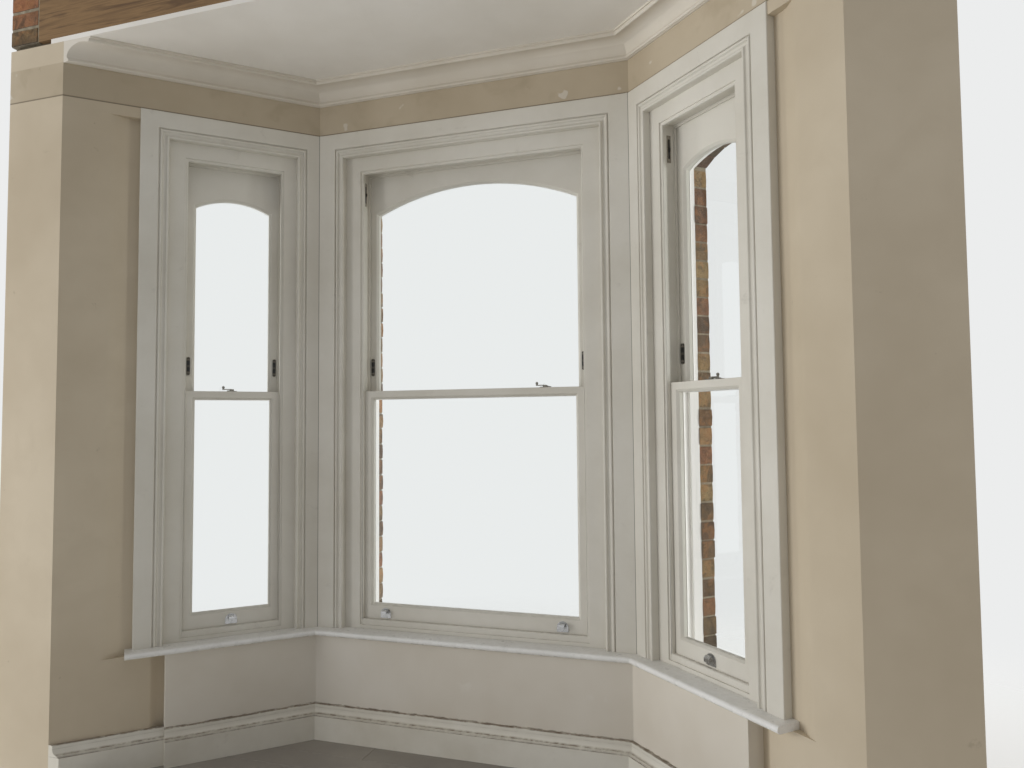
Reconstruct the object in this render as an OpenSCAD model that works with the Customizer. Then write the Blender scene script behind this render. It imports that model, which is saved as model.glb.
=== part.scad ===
// Canted bay window of a brick terrace house: three box-sash windows between brick piers,
// with the joinery and plaster of the room side and a hipped slate roof.
// Millimetres, +Z up. X runs along the house wall, +Y points to the street, the room lies at -Y.
// The origin is at ground level, in the middle of the bay's footprint.

/* [Bay plan] */
// Width of the middle side, between the inner corners of the architraves
centre_w = 1470; // [1400:10:1700]
// Length of a slanted side, from the inner corner to the outer edge of its architrave
side_w = 765; // [765:5:850]
// Slant of the side walls to the middle wall, in degrees
cant = 45; // [40:1:50]
// Length of the slanted wall face, from the inner corner to the corner of the room
wall_run = 1050; // [1000:10:1250]
// Length of house wall kept beside the bay
wall_end_w = 300; // [260:10:500]

/* [Levels] */
// Floor of the room above the ground outside
floor_level = 1050; // [450:10:1300]
// Top of the window board above the floor
board_level = 480; // [400:10:600]
// Top of the architraves above the window board
architrave_top = 2300; // [2250:10:2400]
// Ceiling above the floor
ceiling_level = 3010; // [2980:10:3200]

/* [Windows] */
// Clear width of the middle window between its linings
centre_open_w = 1070; // [900:10:1100]
// Clear width of each side window between its linings
side_open_w = 425; // [380:5:440]
// Middle of a side window from the inner corner
side_open_mid = 370; // [360:5:380]
// Head of the openings above the window board
open_head = 2119; // [2100:1:2130]
// Width of the sash stiles
stile_w = 49; // [42:1:60]
// Thickness of the sashes
sash_t = 44; // [38:1:48]
// Rise of the arched glass in the middle window
centre_rise = 105; // [60:1:120]
// Rise of the arched glass in a side window
side_rise = 42; // [25:1:50]
// Thickness of the glass
glass_t = 4; // [3:1:6]

/* [Joinery] */
// Thickness of the window board
board_t = 25; // [20:1:32]
// Projection of the window board in front of the architraves
board_nose = 58; // [40:1:80]
// Width of the architraves at the head and the outer sides
architrave_w = 115; // [100:1:120]
// Height of the skirting
skirting_h = 150; // [120:5:200]
// Height of the plaster cornice
cornice_h = 90; // [80:5:160]
// Projection of the plaster cornice
cornice_reach = 100; // [80:5:140]
// Thickness of the skirting at the floor
skirting_t = 38; // [25:1:45]

/* [Masonry] */
// Thickness of the brick walls of the bay
brick_t = 215; // [200:5:330]
// Thickness of the house wall beside the bay
house_wall_t = 330; // [215:5:350]
// Height of the stone sill course
sill_h = 150; // [120:5:200]
// Projection of the stone sill course
sill_nose = 50; // [30:5:70]
// Rise of the brick arch over the middle window
centre_arch_rise = 118; // [80:1:140]
// Rise of the brick arch over a side window
side_arch_rise = 60; // [30:1:75]

/* [Roof] */
// Rise of the slate roof from the eaves to the house wall
roof_rise = 560; // [400:10:800]
// Overhang of the slates beyond the brickwork
eaves_reach = 100; // [80:5:120]
// Radius of the half-round gutter
gutter_r = 52; // [45:1:65]
// Thickness of the roof slopes
roof_t = 50; // [40:5:80]
// Spacing of the brick dentils
dentil_pitch = 150; // [120:5:220]

/* [Hidden] */
$fn = 48;
// depths behind the architrave face, towards the street
plaster_d = 6;
lining_d = 35;
brick_d0 = 55;
brick_d1 = brick_d0 + brick_t;
frame_back_d = 203;
lower_sash_d = 60;
parting_d = lower_sash_d + sash_t + 1;
upper_sash_d = parting_d + 9;
apron_d = -30;
eaves_d = brick_d1 + eaves_reach;
dentil_step = 28;
gutter_d = brick_d1 + 2 * dentil_step + gutter_r;
// levels above the ground
z_floor = floor_level;
z_board = floor_level + board_level;
z_sill_top = z_board + 5;
z_spring = z_board + 1966;
z_head = z_board + open_head;
z_frame_top = z_head + 95;
z_trim = z_board + architrave_top;
z_ledge = z_trim - 45;
z_ceiling = floor_level + ceiling_level;
z_eaves = z_ceiling + 20;
z_roof_top = z_eaves + roof_rise;
z_cut = z_roof_top + 150;
// levels of the sash members above the window board
sash_foot = 20;
bottom_rail_top = 109;
meeting_lo = 1045;
meeting_hi = 1083;
glass_spring = 1925;
// window members
sash_gap = 3;
glass_inset = stile_w + sash_gap;
glass_edge = 8;
pane_back = 14;
box_w = 100;
// brickwork in front of a frame's lining at each jamb, less than 0 where the lining shows
centre_cover = -7;
side_cover = 10;
bead_t = 12;
stop_w = 10;
outer_lining_t = 12;
sill_check = 22;
// ends of the trim, from the inner corner along a slanted side
corner_margin = 75;
corner_leg_s = side_open_mid - side_open_w / 2 - 58;
outer_leg_s = side_w - architrave_w;
recess_s = side_w + 28;
apron_s = 640;
slot_s = 660;
recess_fade = 90;
slot_fade = 40;
// timbers and brick dentils
joist_h = 150;
floor_t = 25;
beam_h = 225;
bearing = 150;
facing_t = 105;
dentil_h = 75;
// plan of the room side
half = tan(cant / 2);
room_y = wall_run * sin(cant);
y_face = (room_y - gutter_d - gutter_r) / 2;
y_room = y_face - room_y;
y_street = y_room + house_wall_t;
plaster_t = 20;
// where the slanted walls meet the street face of the house wall, and the cut end of that wall
join_s = (room_y - house_wall_t + brick_d1 * cos(cant)) / sin(cant);
x_end = centre_w / 2 + wall_run * cos(cant) + wall_end_w;

// A point of the right inner corner line at depth d behind the architrave face
function corner(d) = [centre_w / 2 + d * half, y_face + d];
// A point of the right slanted side, s along it from the inner corner, at depth d
function side_pt(s, d) =
    [centre_w / 2 + s * cos(cant) + d * sin(cant), y_face - s * sin(cant) + d * cos(cant)];
// Where the right slanted side at depth d meets the line y
function side_at_y(y, d) = side_pt((y_face - y + d * cos(cant)) / sin(cant), d);
// The same outline on the left side
function flipped(pts) = [for (i = [len(pts) - 1 : -1 : 0]) [-pts[i][0], pts[i][1]]];

// Points on an arc, for the outlines of mouldings
function arc_pts(x, y, r, a0, a1, n) =
    [for (i = [0 : n]) [x + r * cos(a0 + (a1 - a0) * i / n), y + r * sin(a0 + (a1 - a0) * i / n)]];

// Sizes that differ between the middle window, k = 0, and the side windows, k = -1 and 1
function open_w(k) = k == 0 ? centre_open_w : side_open_w;
function glass_w(k) = open_w(k) - 2 * glass_inset;
function glass_rise(k) = k == 0 ? centre_rise : side_rise;
function arch_rise(k) = k == 0 ? centre_arch_rise : side_arch_rise;
function brick_open_w(k) = open_w(k) - 2 * (k == 0 ? centre_cover : side_cover);
function arc_radius(w, rise) = (w * w / 4 + rise * rise) / (2 * rise);

// Puts children made in a window's own frame on the side k: X runs along the wall from the
// window's middle, away from the inner corner on a side window, and Y is the depth
module on_side(k) {
    if (k == 0) translate([0, y_face, 0]) children();
    else mirror([k < 0 ? 1 : 0, 0, 0]) translate([centre_w / 2, y_face, 0])
        rotate([0, 0, -cant]) translate([side_open_mid, 0, 0]) children();
}

// Extrudes an outline in (depth, height) along X
module along_x(len) {
    rotate([90, 0, 90]) linear_extrude(len, center = true) children();
}

// Extrudes an outline in (x, height) from depth d0 to d1
module through(d0, d1) {
    translate([0, d1, 0]) rotate([90, 0, 0]) linear_extrude(d1 - d0) children();
}

// Extrudes a plan outline of the right side, or its mirror image, between two levels
module plan_solid(k, pts, z0, z1) {
    translate([0, 0, z0]) linear_extrude(z1 - z0) polygon(k < 0 ? flipped(pts) : pts);
}

// Plan region that belongs to side k, mitred at the inner corners. Up to the brick face it ends
// square to the wall at s_end, and in front of the brickwork at the house wall.
module side_region(k, s_end) {
    lo = -500;
    hi = 700;
    right = [corner(lo), side_pt(s_end, lo), side_pt(s_end, brick_d1), side_at_y(y_street, brick_d1),
        side_at_y(y_street, hi), corner(hi)];
    middle = concat([corner(lo), corner(hi)], flipped([corner(lo), corner(hi)]));
    polygon(k == 0 ? middle : k < 0 ? flipped(right) : right);
}

// Runs an outline in (depth, height) round the bay with mitred corners
module round_bay(s_end) {
    for (k = [-1, 0, 1]) intersection() {
        on_side(k) along_x(3600) children();
        linear_extrude(6000) side_region(k, s_end);
    }
}

// Plan of the bay inside the walls at depth d, up to the line of the room's wall
module room_region(d) {
    right = [side_at_y(y_room, d), corner(d)];
    polygon(concat(right, flipped(right)));
}

// A rectangle between two depths and two levels, for the runs round the bay
module band(d0, d1, z0, z1) {
    translate([d0, z0]) square([d1 - d0, z1 - z0]);
}

// Masonry

module apron_wall(k) {
    right = [corner(brick_d0), side_pt(join_s, brick_d0), side_pt(join_s, brick_d1), corner(brick_d1)];
    middle = concat([corner(brick_d0), corner(brick_d1)], flipped([corner(brick_d0), corner(brick_d1)]));
    color("#a98d68") plan_solid(k, k == 0 ? middle : right, 0, z_sill_top - sill_h);
}

// Moulded sill course that carries the piers, weathered under each window and rebated for the
// timber sills
module sill_course() {
    nose = brick_d1 + sill_nose;
    throat = brick_d1 + 12;
    cove = sill_nose - 20;
    color("#dcd8cc") difference() {
        round_bay(join_s) translate([0, z_sill_top]) polygon(concat([[brick_d0, -sill_h], [throat, -sill_h]],
            arc_pts(throat + cove, -66 - cove, cove, 180, 90, 8),
            [[nose, -66], [nose, -8], [nose - 8, 0], [brick_d0, 0]]));
        for (k = [-1, 0, 1]) on_side(k) translate([0, 0, z_sill_top]) {
            along_x(brick_open_w(k))
                polygon([[frame_back_d, 0], [nose + 1, -16], [nose + 1, 1], [frame_back_d, 1]]);
            along_x(open_w(k) + 2 * box_w) band(brick_d0 - 1, frame_back_d, -sill_check, 1);
        }
    }
}

// Brickwork between two neighbouring openings, rebated for the box frames
module corner_pier(k) {
    outer_x = brick_open_w(0) / 2;
    inner_x = centre_open_w / 2 + box_w;
    outer_s = side_open_mid - brick_open_w(1) / 2;
    inner_s = side_open_mid - side_open_w / 2 - box_w;
    color("#a98d68") plan_solid(k, [[outer_x, y_face + frame_back_d], [inner_x, y_face + frame_back_d],
        [inner_x, y_face + brick_d0], corner(brick_d0), side_pt(inner_s, brick_d0),
        side_pt(inner_s, frame_back_d), side_pt(outer_s, frame_back_d), side_pt(outer_s, brick_d1),
        corner(brick_d1), [outer_x, y_face + brick_d1]], z_sill_top, z_eaves);
}

// Brickwork from a side window's outer edge to the house wall
module end_pier(k) {
    outer_s = side_open_mid + brick_open_w(1) / 2;
    inner_s = side_open_mid + side_open_w / 2 + box_w;
    color("#a98d68") plan_solid(k, [side_pt(outer_s, frame_back_d), side_pt(inner_s, frame_back_d),
        side_pt(inner_s, brick_d0), side_pt(join_s, brick_d0), side_pt(join_s, brick_d1),
        side_pt(outer_s, brick_d1)], z_sill_top, z_eaves);
}

// Outline with a segmental head: width w, from z0 up to the spring line and then the arc.
// e makes it larger all round.
module arched_outline(w, z0, spring, rise, e = 0) {
    r = arc_radius(w, rise);
    translate([-w / 2 - e, z0 - e]) square([w + 2 * e, spring - z0 + e]);
    intersection() {
        translate([0, spring + rise - r]) circle(r + e);
        translate([-w / 2 - e, spring - 1]) square([w + 2 * e, rise + e + 2]);
    }
}

// Wall over one window. The outer half is cut to the arch, the inner half stands on the frame.
module arch_head(k) {
    w = brick_open_w(k);
    frame_w = open_w(k) + 2 * box_w;
    color("#a98d68") on_side(k) {
        difference() {
            translate([-w / 2, frame_back_d, z_spring])
                cube([w, brick_d1 - frame_back_d, z_eaves - z_spring]);
            through(frame_back_d - 1, brick_d1 + 1)
                arched_outline(w, z_board, z_spring, arch_rise(k));
        }
        translate([-frame_w / 2, brick_d0, z_frame_top])
            cube([frame_w, frame_back_d - brick_d0, z_eaves - z_frame_top]);
    }
}

// Two oversailing courses, the lower one of separate brick dentils, that carry the gutter
module dentil_course() {
    color("#b0805c") {
        round_bay(join_s) band(brick_d1, brick_d1 + 2 * dentil_step, z_eaves - dentil_h, z_eaves);
        for (k = [-1, 0, 1]) intersection() {
            on_side(k) for (i = [-7 : 7])
                translate([(i - 0.25) * dentil_pitch, brick_d1, z_eaves - 2 * dentil_h])
                    cube([dentil_pitch / 2, dentil_step, dentil_h]);
            linear_extrude(6000) side_region(k, join_s);
        }
    }
}

// Stub of the house wall, cut plain at its outer end
module wall_end(k) {
    y_brick = y_room + plaster_t;
    color("#a98d68") plan_solid(k, [side_pt(join_s, brick_d0), side_at_y(y_brick, brick_d0),
        [x_end, y_brick], [x_end, y_street], side_pt(join_s, brick_d1)], 0, z_eaves);
}

// Timber beam that carries the house wall over the opening. Its ends bear on the wall stubs
// behind a facing of brickwork, and its middle is as thick as the wall.
module opening_beam() {
    long_x = side_at_y(y_room, 0)[0] + bearing;
    short_x = side_at_y(y_street, 0)[0] + 15;
    color("#9a7448") union() {
        translate([-long_x, y_room, z_eaves]) cube([2 * long_x, house_wall_t - facing_t, beam_h]);
        translate([-short_x, y_room, z_eaves]) cube([2 * short_x, house_wall_t, beam_h]);
    }
}

module wall_over_beam() {
    color("#a98d68") difference() {
        translate([-x_end, y_room, z_eaves]) cube([2 * x_end, house_wall_t, z_cut - z_eaves]);
        opening_beam();
    }
}

// Roof

// Horizontal run of the roof from its eaves at depth d to the house wall
function roof_run(d) = y_face + d - y_street;
function roof_slope() = roof_rise / roof_run(eaves_d);
function roof_angle() = atan(roof_slope());
// Top end of the right hip of a roof whose eaves are at depth d
function hip_top(d) = [corner(d)[0] - roof_run(d) * half, y_street, z_eaves + roof_slope() * roof_run(d)];

// Closed wedge under the roof surface, with its eaves at depth d
module roof_wedge(d) {
    a = corner(d);
    b = side_at_y(y_street, d);
    t = hip_top(d);
    polyhedron(
        points = [[-a[0], a[1], z_eaves], [a[0], a[1], z_eaves], [b[0], b[1], z_eaves],
            [-b[0], b[1], z_eaves], [-t[0], t[1], t[2]], t],
        faces = [[0, 3, 2, 1], [0, 1, 5, 4], [1, 2, 5], [0, 4, 3], [2, 3, 4, 5]]);
}

// The roof surface raised by t at right angles to the slopes
module raised_wedge(t) {
    roof_wedge(eaves_d + t / sin(roof_angle()));
}

module roof_slopes() {
    color("#5a6068") difference() {
        roof_wedge(eaves_d);
        for (y = [0, -2]) translate([0, y, -1]) raised_wedge(-roof_t);
    }
}

// Lead rolls and wings on the hips, and the flashing along the house wall
module roof_lead() {
    a = corner(eaves_d);
    t = hip_top(eaves_d);
    b = side_at_y(y_street, eaves_d);
    dir = [t[0] - a[0], t[1] - a[1]];
    run = norm([dir[0], dir[1], roof_rise]);
    across = [dir[1], -dir[0]] / norm(dir) * 90;
    upstand = 100;
    lap = 110;
    foot = min(b[0] + lap, x_end);
    wing = [a - 0.1 * dir + across, a - 0.1 * dir - across, a + 1.1 * dir - across, a + 1.1 * dir + across];
    color("#8d9196") {
        difference() {
            intersection() {
                raised_wedge(4);
                linear_extrude(6000) union() {
                    polygon(wing);
                    polygon(flipped(wing));
                    translate([-3000, y_street]) square([6000, lap]);
                }
            }
            roof_wedge(eaves_d);
            translate([-3000, y_street - 1, z_eaves - 1]) cube([6000, 1, 3000]);
        }
        for (k = [-1, 1]) intersection() {
            mirror([k < 0 ? 1 : 0, 0, 0]) translate([a[0], a[1], z_eaves + 8])
                rotate([0, acos(roof_rise / run), atan2(dir[1], dir[0])])
                    translate([0, 0, -40]) cylinder(r = 22, h = run + 80, $fn = 24);
            translate([-3000, y_street, z_eaves]) cube([6000, roof_run(eaves_d), 3000]);
            difference() {
                translate([-3000, -3000, z_eaves]) cube([6000, 6000, 3000]);
                roof_wedge(eaves_d);
            }
        }
        translate([0, y_street + 5, 0]) rotate([90, 0, 0]) linear_extrude(5) difference() {
            polygon([[-foot, z_eaves], [-t[0], z_roof_top + upstand], [t[0], z_roof_top + upstand],
                [foot, z_eaves]]);
            polygon([[-b[0], z_eaves], [-t[0], z_roof_top], [t[0], z_roof_top], [b[0], z_eaves]]);
        }
    }
}

// Half-round gutter with a beaded rim and stopped ends, fixed to the top course of the cornice
module gutter() {
    z_rim = z_eaves - 12;
    color("#26282a") {
        round_bay(join_s) translate([gutter_d, z_rim]) polygon(concat(
            arc_pts(0, 0, gutter_r, 180, 360, 20), arc_pts(gutter_r - 4, 0, 4, 30, 180, 5),
            arc_pts(0, 0, gutter_r - 4, 358, 180, 20)));
        intersection() {
            round_bay(join_s) translate([gutter_d, z_rim]) polygon(arc_pts(0, 0, gutter_r - 2, 180, 360, 20));
            translate([-3000, y_street, 0]) cube([6000, 4, 6000]);
        }
    }
}

// Floor and ceiling

module sleeper_walls() {
    inset = 120;
    color("#a98d68") for (y = [y_room + inset, y_face - inset])
        translate([-side_at_y(y, brick_d0)[0] + inset, y - 51, 0])
            cube([2 * side_at_y(y, brick_d0)[0] - 2 * inset, 102, z_floor - floor_t - joist_h]);
}

module floor_joists() {
    pitch = 400;
    color("#9a7448") intersection() {
        for (i = [-3 : 3]) translate([i * pitch - 25, y_room, z_floor - floor_t - joist_h])
            cube([50, 1500, joist_h]);
        linear_extrude(6000) room_region(brick_d0);
    }
}

module floor_boards() {
    color("#8f8c86") translate([0, 0, z_floor - floor_t]) linear_extrude(floor_t)
        room_region(brick_d0);
}

// Plaster ceiling of the bay, between the walls and under the beam
module ceiling() {
    color("#e4e2dc") translate([0, 0, z_ceiling]) linear_extrude(z_eaves - z_ceiling)
        room_region(brick_d0);
}

// Plaster and joinery of the room side

// Breast under the window board, proud of the walls beside it
module apron_lining() {
    color("#a79f92") round_bay(apron_s) band(apron_d, brick_d0, z_floor, z_board - board_t);
}

// Plaster of one side from the point s0 to the cut end of the wall. It lies back in a narrow
// recess up to s1, comes forward in a soft splay over the length fade, and is flush with the
// architraves from there to the room's corner.
module plaster_side(k, s0, s1, fade, z0, z1) {
    step = lining_d - plaster_d;
    soft = fade == 0 ? [] : [side_pt(s1 + 0.35 * fade, lining_d - 0.2 * step),
        side_pt(s1 + 0.7 * fade, lining_d - 0.75 * step)];
    plan_solid(k, concat([side_pt(s0, lining_d), side_pt(s1, lining_d)], soft,
        [side_pt(s1 + fade, plaster_d), side_at_y(y_room, plaster_d), [x_end, y_room],
        [x_end, y_room + plaster_t], side_at_y(y_room + plaster_t, brick_d0),
        side_pt(s0, brick_d0)]), z0, z1);
}

module wall_plaster() {
    frame_s = side_open_mid + side_open_w / 2 + box_w;
    color("#a0988a") {
        for (k = [-1, 1]) {
            plaster_side(k, apron_s, slot_s, slot_fade, z_floor, z_board - board_t);
            plaster_side(k, frame_s, recess_s, recess_fade, z_board - board_t, z_ledge);
            plaster_side(k, frame_s, side_w, 0, z_ledge, z_trim);
        }
        round_bay(side_w) band(lining_d, brick_d0, z_frame_top, z_trim);
        for (k = [-1, 0, 1]) intersection() {
            on_side(k) along_x(3600) band(plaster_d, brick_d0, z_trim, z_ceiling);
            linear_extrude(6000) intersection() {
                side_region(k, 1500);
                translate([-3000, y_room]) square([6000, 3000]);
            }
        }
        for (k = [-1, 1]) plaster_side(k, side_w, side_w + 1, 0, z_trim, z_ceiling);
    }
}

// Skirting section with its back on x = 0: plain plinth, quirk, hollow and a rounded top
module skirting_outline() {
    top = skirting_h - 46;
    difference() {
        union() {
            translate([-skirting_t, 0]) square([skirting_t, top]);
            translate([-skirting_t + 5, 0]) square([skirting_t - 5, top + 4]);
            translate([-skirting_t + 8, 0]) square([skirting_t - 8, top + 30]);
            translate([-14, 0]) square([14, skirting_h - 6]);
            translate([-8, skirting_h - 6]) square([8, 6]);
            translate([-8, skirting_h - 6]) circle(6);
        }
        translate([-skirting_t + 8, top + 30]) scale([1, 1.4]) circle(skirting_t - 22);
    }
}

module skirting() {
    color("#d9d7cf") {
        round_bay(apron_s) translate([apron_d, z_floor]) skirting_outline();
        for (k = [-1, 1]) intersection() {
            on_side(k) along_x(3000) translate([plaster_d, z_floor]) skirting_outline();
            plan_solid(k, [side_pt(apron_s, -200), side_pt(apron_s, plaster_d),
                side_at_y(y_room, plaster_d), side_at_y(y_room, -200)], 0, 3000);
        }
    }
}

// Cornice section with its back on x = 0 and its top on y = 0: a bead, a cove and a top fillet
module cornice_outline() {
    r = min(cornice_h - 36, cornice_reach - 26);
    polygon(concat([[0, 0], [-cornice_reach, 0], [-cornice_reach, -8], [-cornice_reach + 6, -8]],
        arc_pts(-cornice_reach + 12, -16, 6, 180, 330, 6),
        arc_pts(-12 - r, -16 - r, r, 90, 0, 14),
        arc_pts(-12, -cornice_h + 8, 6, 150, 270, 6),
        [[-8, -cornice_h + 2], [-8, -cornice_h], [0, -cornice_h]]));
}

module cornice() {
    color("#e4e2dc") for (k = [-1, 0, 1]) intersection() {
        on_side(k) along_x(3600) translate([plaster_d, z_ceiling]) cornice_outline();
        linear_extrude(6000) intersection() {
            side_region(k, 1500);
            room_region(plaster_d);
        }
    }
}

// Board with a rounded nose, under the architraves and up to the frames
module window_board() {
    r = board_t / 2;
    color("#e6e7e4") round_bay(recess_s) translate([0, z_board - board_t])
        polygon(concat(arc_pts(r - board_nose, r, r, 270, 90, 12), [[lining_d, board_t], [lining_d, 0]]));
}

// Timber sill section in (depth, height), with a bead in front of the lower sash
module timber_sill_outline() {
    translate([0, z_board]) polygon([[lining_d, 0], [lining_d, 16],
        [lower_sash_d - 18, 16], [lower_sash_d - 18, 38], [lower_sash_d - 14, 42],
        [lower_sash_d - 1, 42], [lower_sash_d - 1, sash_foot], [lower_sash_d + 1, sash_foot],
        [frame_back_d + 18, 8], [frame_back_d + 18, 5], [frame_back_d, 5],
        [frame_back_d, 5 - sill_check], [brick_d0, 5 - sill_check], [brick_d0, 0]]);
}

// Box frame: a weight box each side, the head and the sill, with the beads that hold the sashes
// and an outer lining that follows the arch
module box_frame(k) {
    half_w = open_w(k) / 2;
    lining_spring = z_board + glass_spring + 30;
    guides = [[0, frame_back_d], [-stop_w, frame_back_d], [-stop_w, upper_sash_d + sash_t + 1],
        [0, upper_sash_d + sash_t + 1], [0, parting_d + 8], [-bead_t, parting_d + 8],
        [-bead_t, parting_d], [0, parting_d], [0, lower_sash_d - 1], [-bead_t, lower_sash_d - 1],
        [-bead_t, lining_d + 9], [-bead_t + 3, lining_d + 6], [0, lining_d + 6], [0, lining_d]];
    color("#e6e7e4") on_side(k) {
        for (m = [0, 1]) mirror([m, 0, 0]) translate([half_w, 0, z_sill_top - sill_check])
            linear_extrude(z_frame_top - z_sill_top + sill_check)
                polygon(concat([[box_w, lining_d], [box_w, frame_back_d]], guides));
        along_x(2 * half_w) translate([0, z_head]) mirror([1, -1])
            polygon(concat([[z_frame_top - z_head, lining_d], [z_frame_top - z_head, frame_back_d]], guides));
        along_x(min(open_w(k), brick_open_w(k))) timber_sill_outline();
        along_x(open_w(k)) intersection() {
            timber_sill_outline();
            band(0, frame_back_d, z_board - 50, z_board + 50);
        }
        through(frame_back_d - outer_lining_t, frame_back_d) difference() {
            translate([-half_w - 5, lining_spring - 20])
                square([2 * half_w + 10, z_head + 5 - lining_spring + 20]);
            arched_outline(open_w(k) - 2 * stop_w, z_board, lining_spring, glass_rise(k));
        }
    }
}

// Architrave section: x runs from the inner edge outwards and y is the depth. Two beads with a
// hollow between them and a quirk lie beside a flat band, all with their faces at depth 0.
module architrave_outline(wide) {
    bead_r = 5.5;
    polygon(concat([[0, lining_d]], arc_pts(bead_r, bead_r, bead_r, 180, 360, 8),
        arc_pts(18.75, 0.5, 9.2, 130, 50, 5), arc_pts(32, bead_r, bead_r, 180, 360, 8),
        [[37.5, 8], [41.5, 8], [41.5, 2], [43.5, 0], [wide - 2, 0], [wide, 2], [wide, lining_d]]));
}

// One upright with its inner edge at x = 0, mitred at the head
module architrave_leg(wide) {
    intersection() {
        translate([0, 0, z_board]) linear_extrude(architrave_top) architrave_outline(wide);
        through(-1, lining_d + 1) polygon([[-1, z_board], [-1, z_trim - architrave_w - 1],
            [architrave_w, z_trim], [400, z_trim], [400, z_board]]);
    }
}

module architrave(k) {
    low = k == 0 ? centre_open_w / 2 + corner_margin : side_open_mid - corner_leg_s;
    high = k == 0 ? low : outer_leg_s - side_open_mid;
    z_in = z_trim - architrave_w;
    color("#e6e7e4") intersection() {
        on_side(k) {
            translate([-low, 0, 0]) mirror([1, 0, 0]) architrave_leg(250);
            translate([high, 0, 0]) architrave_leg(k == 0 ? 250 : architrave_w);
            intersection() {
                translate([(high - low) / 2, 0, 0]) along_x(high + low + 2 * architrave_w)
                    translate([0, z_in]) mirror([1, -1]) architrave_outline(architrave_w);
                through(-1, lining_d + 1) polygon([[-low, z_in], [-low - architrave_w, z_trim],
                    [high + architrave_w, z_trim], [high, z_in]]);
            }
        }
        linear_extrude(6000) side_region(k, side_w);
    }
}

// Sashes and glass

// Splayed opening whose outline is larger by e0 at depth d0 and by e1 at depth d1
module splay(k, d0, e0, d1, e1, lo, hi, rise) {
    w = glass_w(k);
    intersection() {
        translate([0, 0, lo - 50]) linear_extrude(hi - lo + rise + 100)
            polygon([[-w / 2 - e0, d0], [w / 2 + e0, d0], [w / 2 + e1, d1], [-w / 2 - e1, d1]]);
        if (rise == 0) along_x(w + 100)
            polygon([[d0, lo - e0], [d1, lo - e1], [d1, hi + e1], [d0, hi + e0]]);
        else along_x(w + 100)
            polygon([[d0, lo - e0], [d1, lo - e1], [d1, hi + rise + 50], [d0, hi + rise + 50]]);
        if (rise > 0) union() {
            r = arc_radius(w, rise);
            intersection() {
                translate([0, d0, hi + rise - r]) rotate([-90, 0, 0])
                    cylinder(r1 = r + e0, r2 = r + e1, h = d1 - d0);
                translate([-w / 2 - 50, d0, hi]) cube([w + 100, d1 - d0, rise + 50]);
            }
            translate([-w / 2 - 50, d0, lo - 50]) cube([w + 100, d1 - d0, hi - lo + 50]);
        }
    }
}

// Cuts the moulded opening of a sash whose inner face is at depth d, and the groove of its pane
module sash_opening(k, d, lo, hi, rise) {
    pane_d = d + sash_t - pane_back;
    through(d - 1, d + sash_t + 1) sight_outline(k, lo, hi, rise, 0);
    through(pane_d - glass_t, pane_d) sight_outline(k, lo, hi, rise, glass_edge);
    splay(k, d - 1, 11, d + 10, 0, lo, hi, rise);
    splay(k, pane_d, 0, d + sash_t + 1, pane_back - 4, lo, hi, rise);
}

module sight_outline(k, lo, hi, rise, e) {
    if (rise > 0) arched_outline(glass_w(k), lo, hi, rise, e);
    else translate([-glass_w(k) / 2 - e, lo - e]) square([glass_w(k) + 2 * e, hi - lo + 2 * e]);
}

module lower_sash(k) {
    color("#e6e7e4") on_side(k) difference() {
        translate([-open_w(k) / 2 + sash_gap, lower_sash_d, z_board + sash_foot])
            cube([open_w(k) - 2 * sash_gap, sash_t, meeting_hi - sash_foot]);
        sash_opening(k, lower_sash_d, z_board + bottom_rail_top, z_board + meeting_lo, 0);
    }
}

module upper_sash(k) {
    color("#e6e7e4") on_side(k) difference() {
        translate([-open_w(k) / 2 + sash_gap, upper_sash_d, z_board + meeting_lo])
            cube([open_w(k) - 2 * sash_gap, sash_t, open_head - sash_gap - meeting_lo]);
        sash_opening(k, upper_sash_d, z_board + meeting_hi, z_board + glass_spring, glass_rise(k));
    }
}

module panes() {
    color("#cfe0e4", 0.4) for (k = [-1, 0, 1]) on_side(k) {
        lower_d = lower_sash_d + sash_t - pane_back;
        upper_d = upper_sash_d + sash_t - pane_back;
        through(lower_d - glass_t, lower_d)
            sight_outline(k, z_board + bottom_rail_top, z_board + meeting_lo, 0, glass_edge);
        through(upper_d - glass_t, upper_d)
            sight_outline(k, z_board + meeting_hi, z_board + glass_spring, glass_rise(k), glass_edge);
    }
}

// Hardware

// Faceplate and wheel in each pulley stile, in the channel of the lower sash
module sash_pulleys() {
    wheel_r = 16;
    proud = 7;
    color("#4a4744") for (k = [-1, 0, 1]) on_side(k) for (m = [0, 1]) mirror([m, 0, 0])
        translate([open_w(k) / 2, lower_sash_d + sash_t / 2, z_board + 2020]) {
            translate([-2, -9, -55]) cube([2, 18, 110]);
            intersection() {
                translate([wheel_r - proud, 0, 0]) rotate([90, 0, 0])
                    cylinder(r = wheel_r, h = 8, center = true);
                translate([-proud - 1, -9, -wheel_r]) cube([proud + 1, 18, 2 * wheel_r]);
            }
        }
}

// Vent stops on the stiles of the upper sashes
module sash_stops() {
    color("#2b2b2b") for (k = [-1, 0, 1]) on_side(k) for (m = [0, 1]) mirror([m, 0, 0])
        translate([open_w(k) / 2 - 26, upper_sash_d, z_board + 1197])
            rotate([90, 0, 0]) linear_extrude(7) union() {
                translate([-7, -34]) square([14, 68]);
                for (s = [-1, 1]) translate([0, 34 * s]) circle(7);
            }
}

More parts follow.
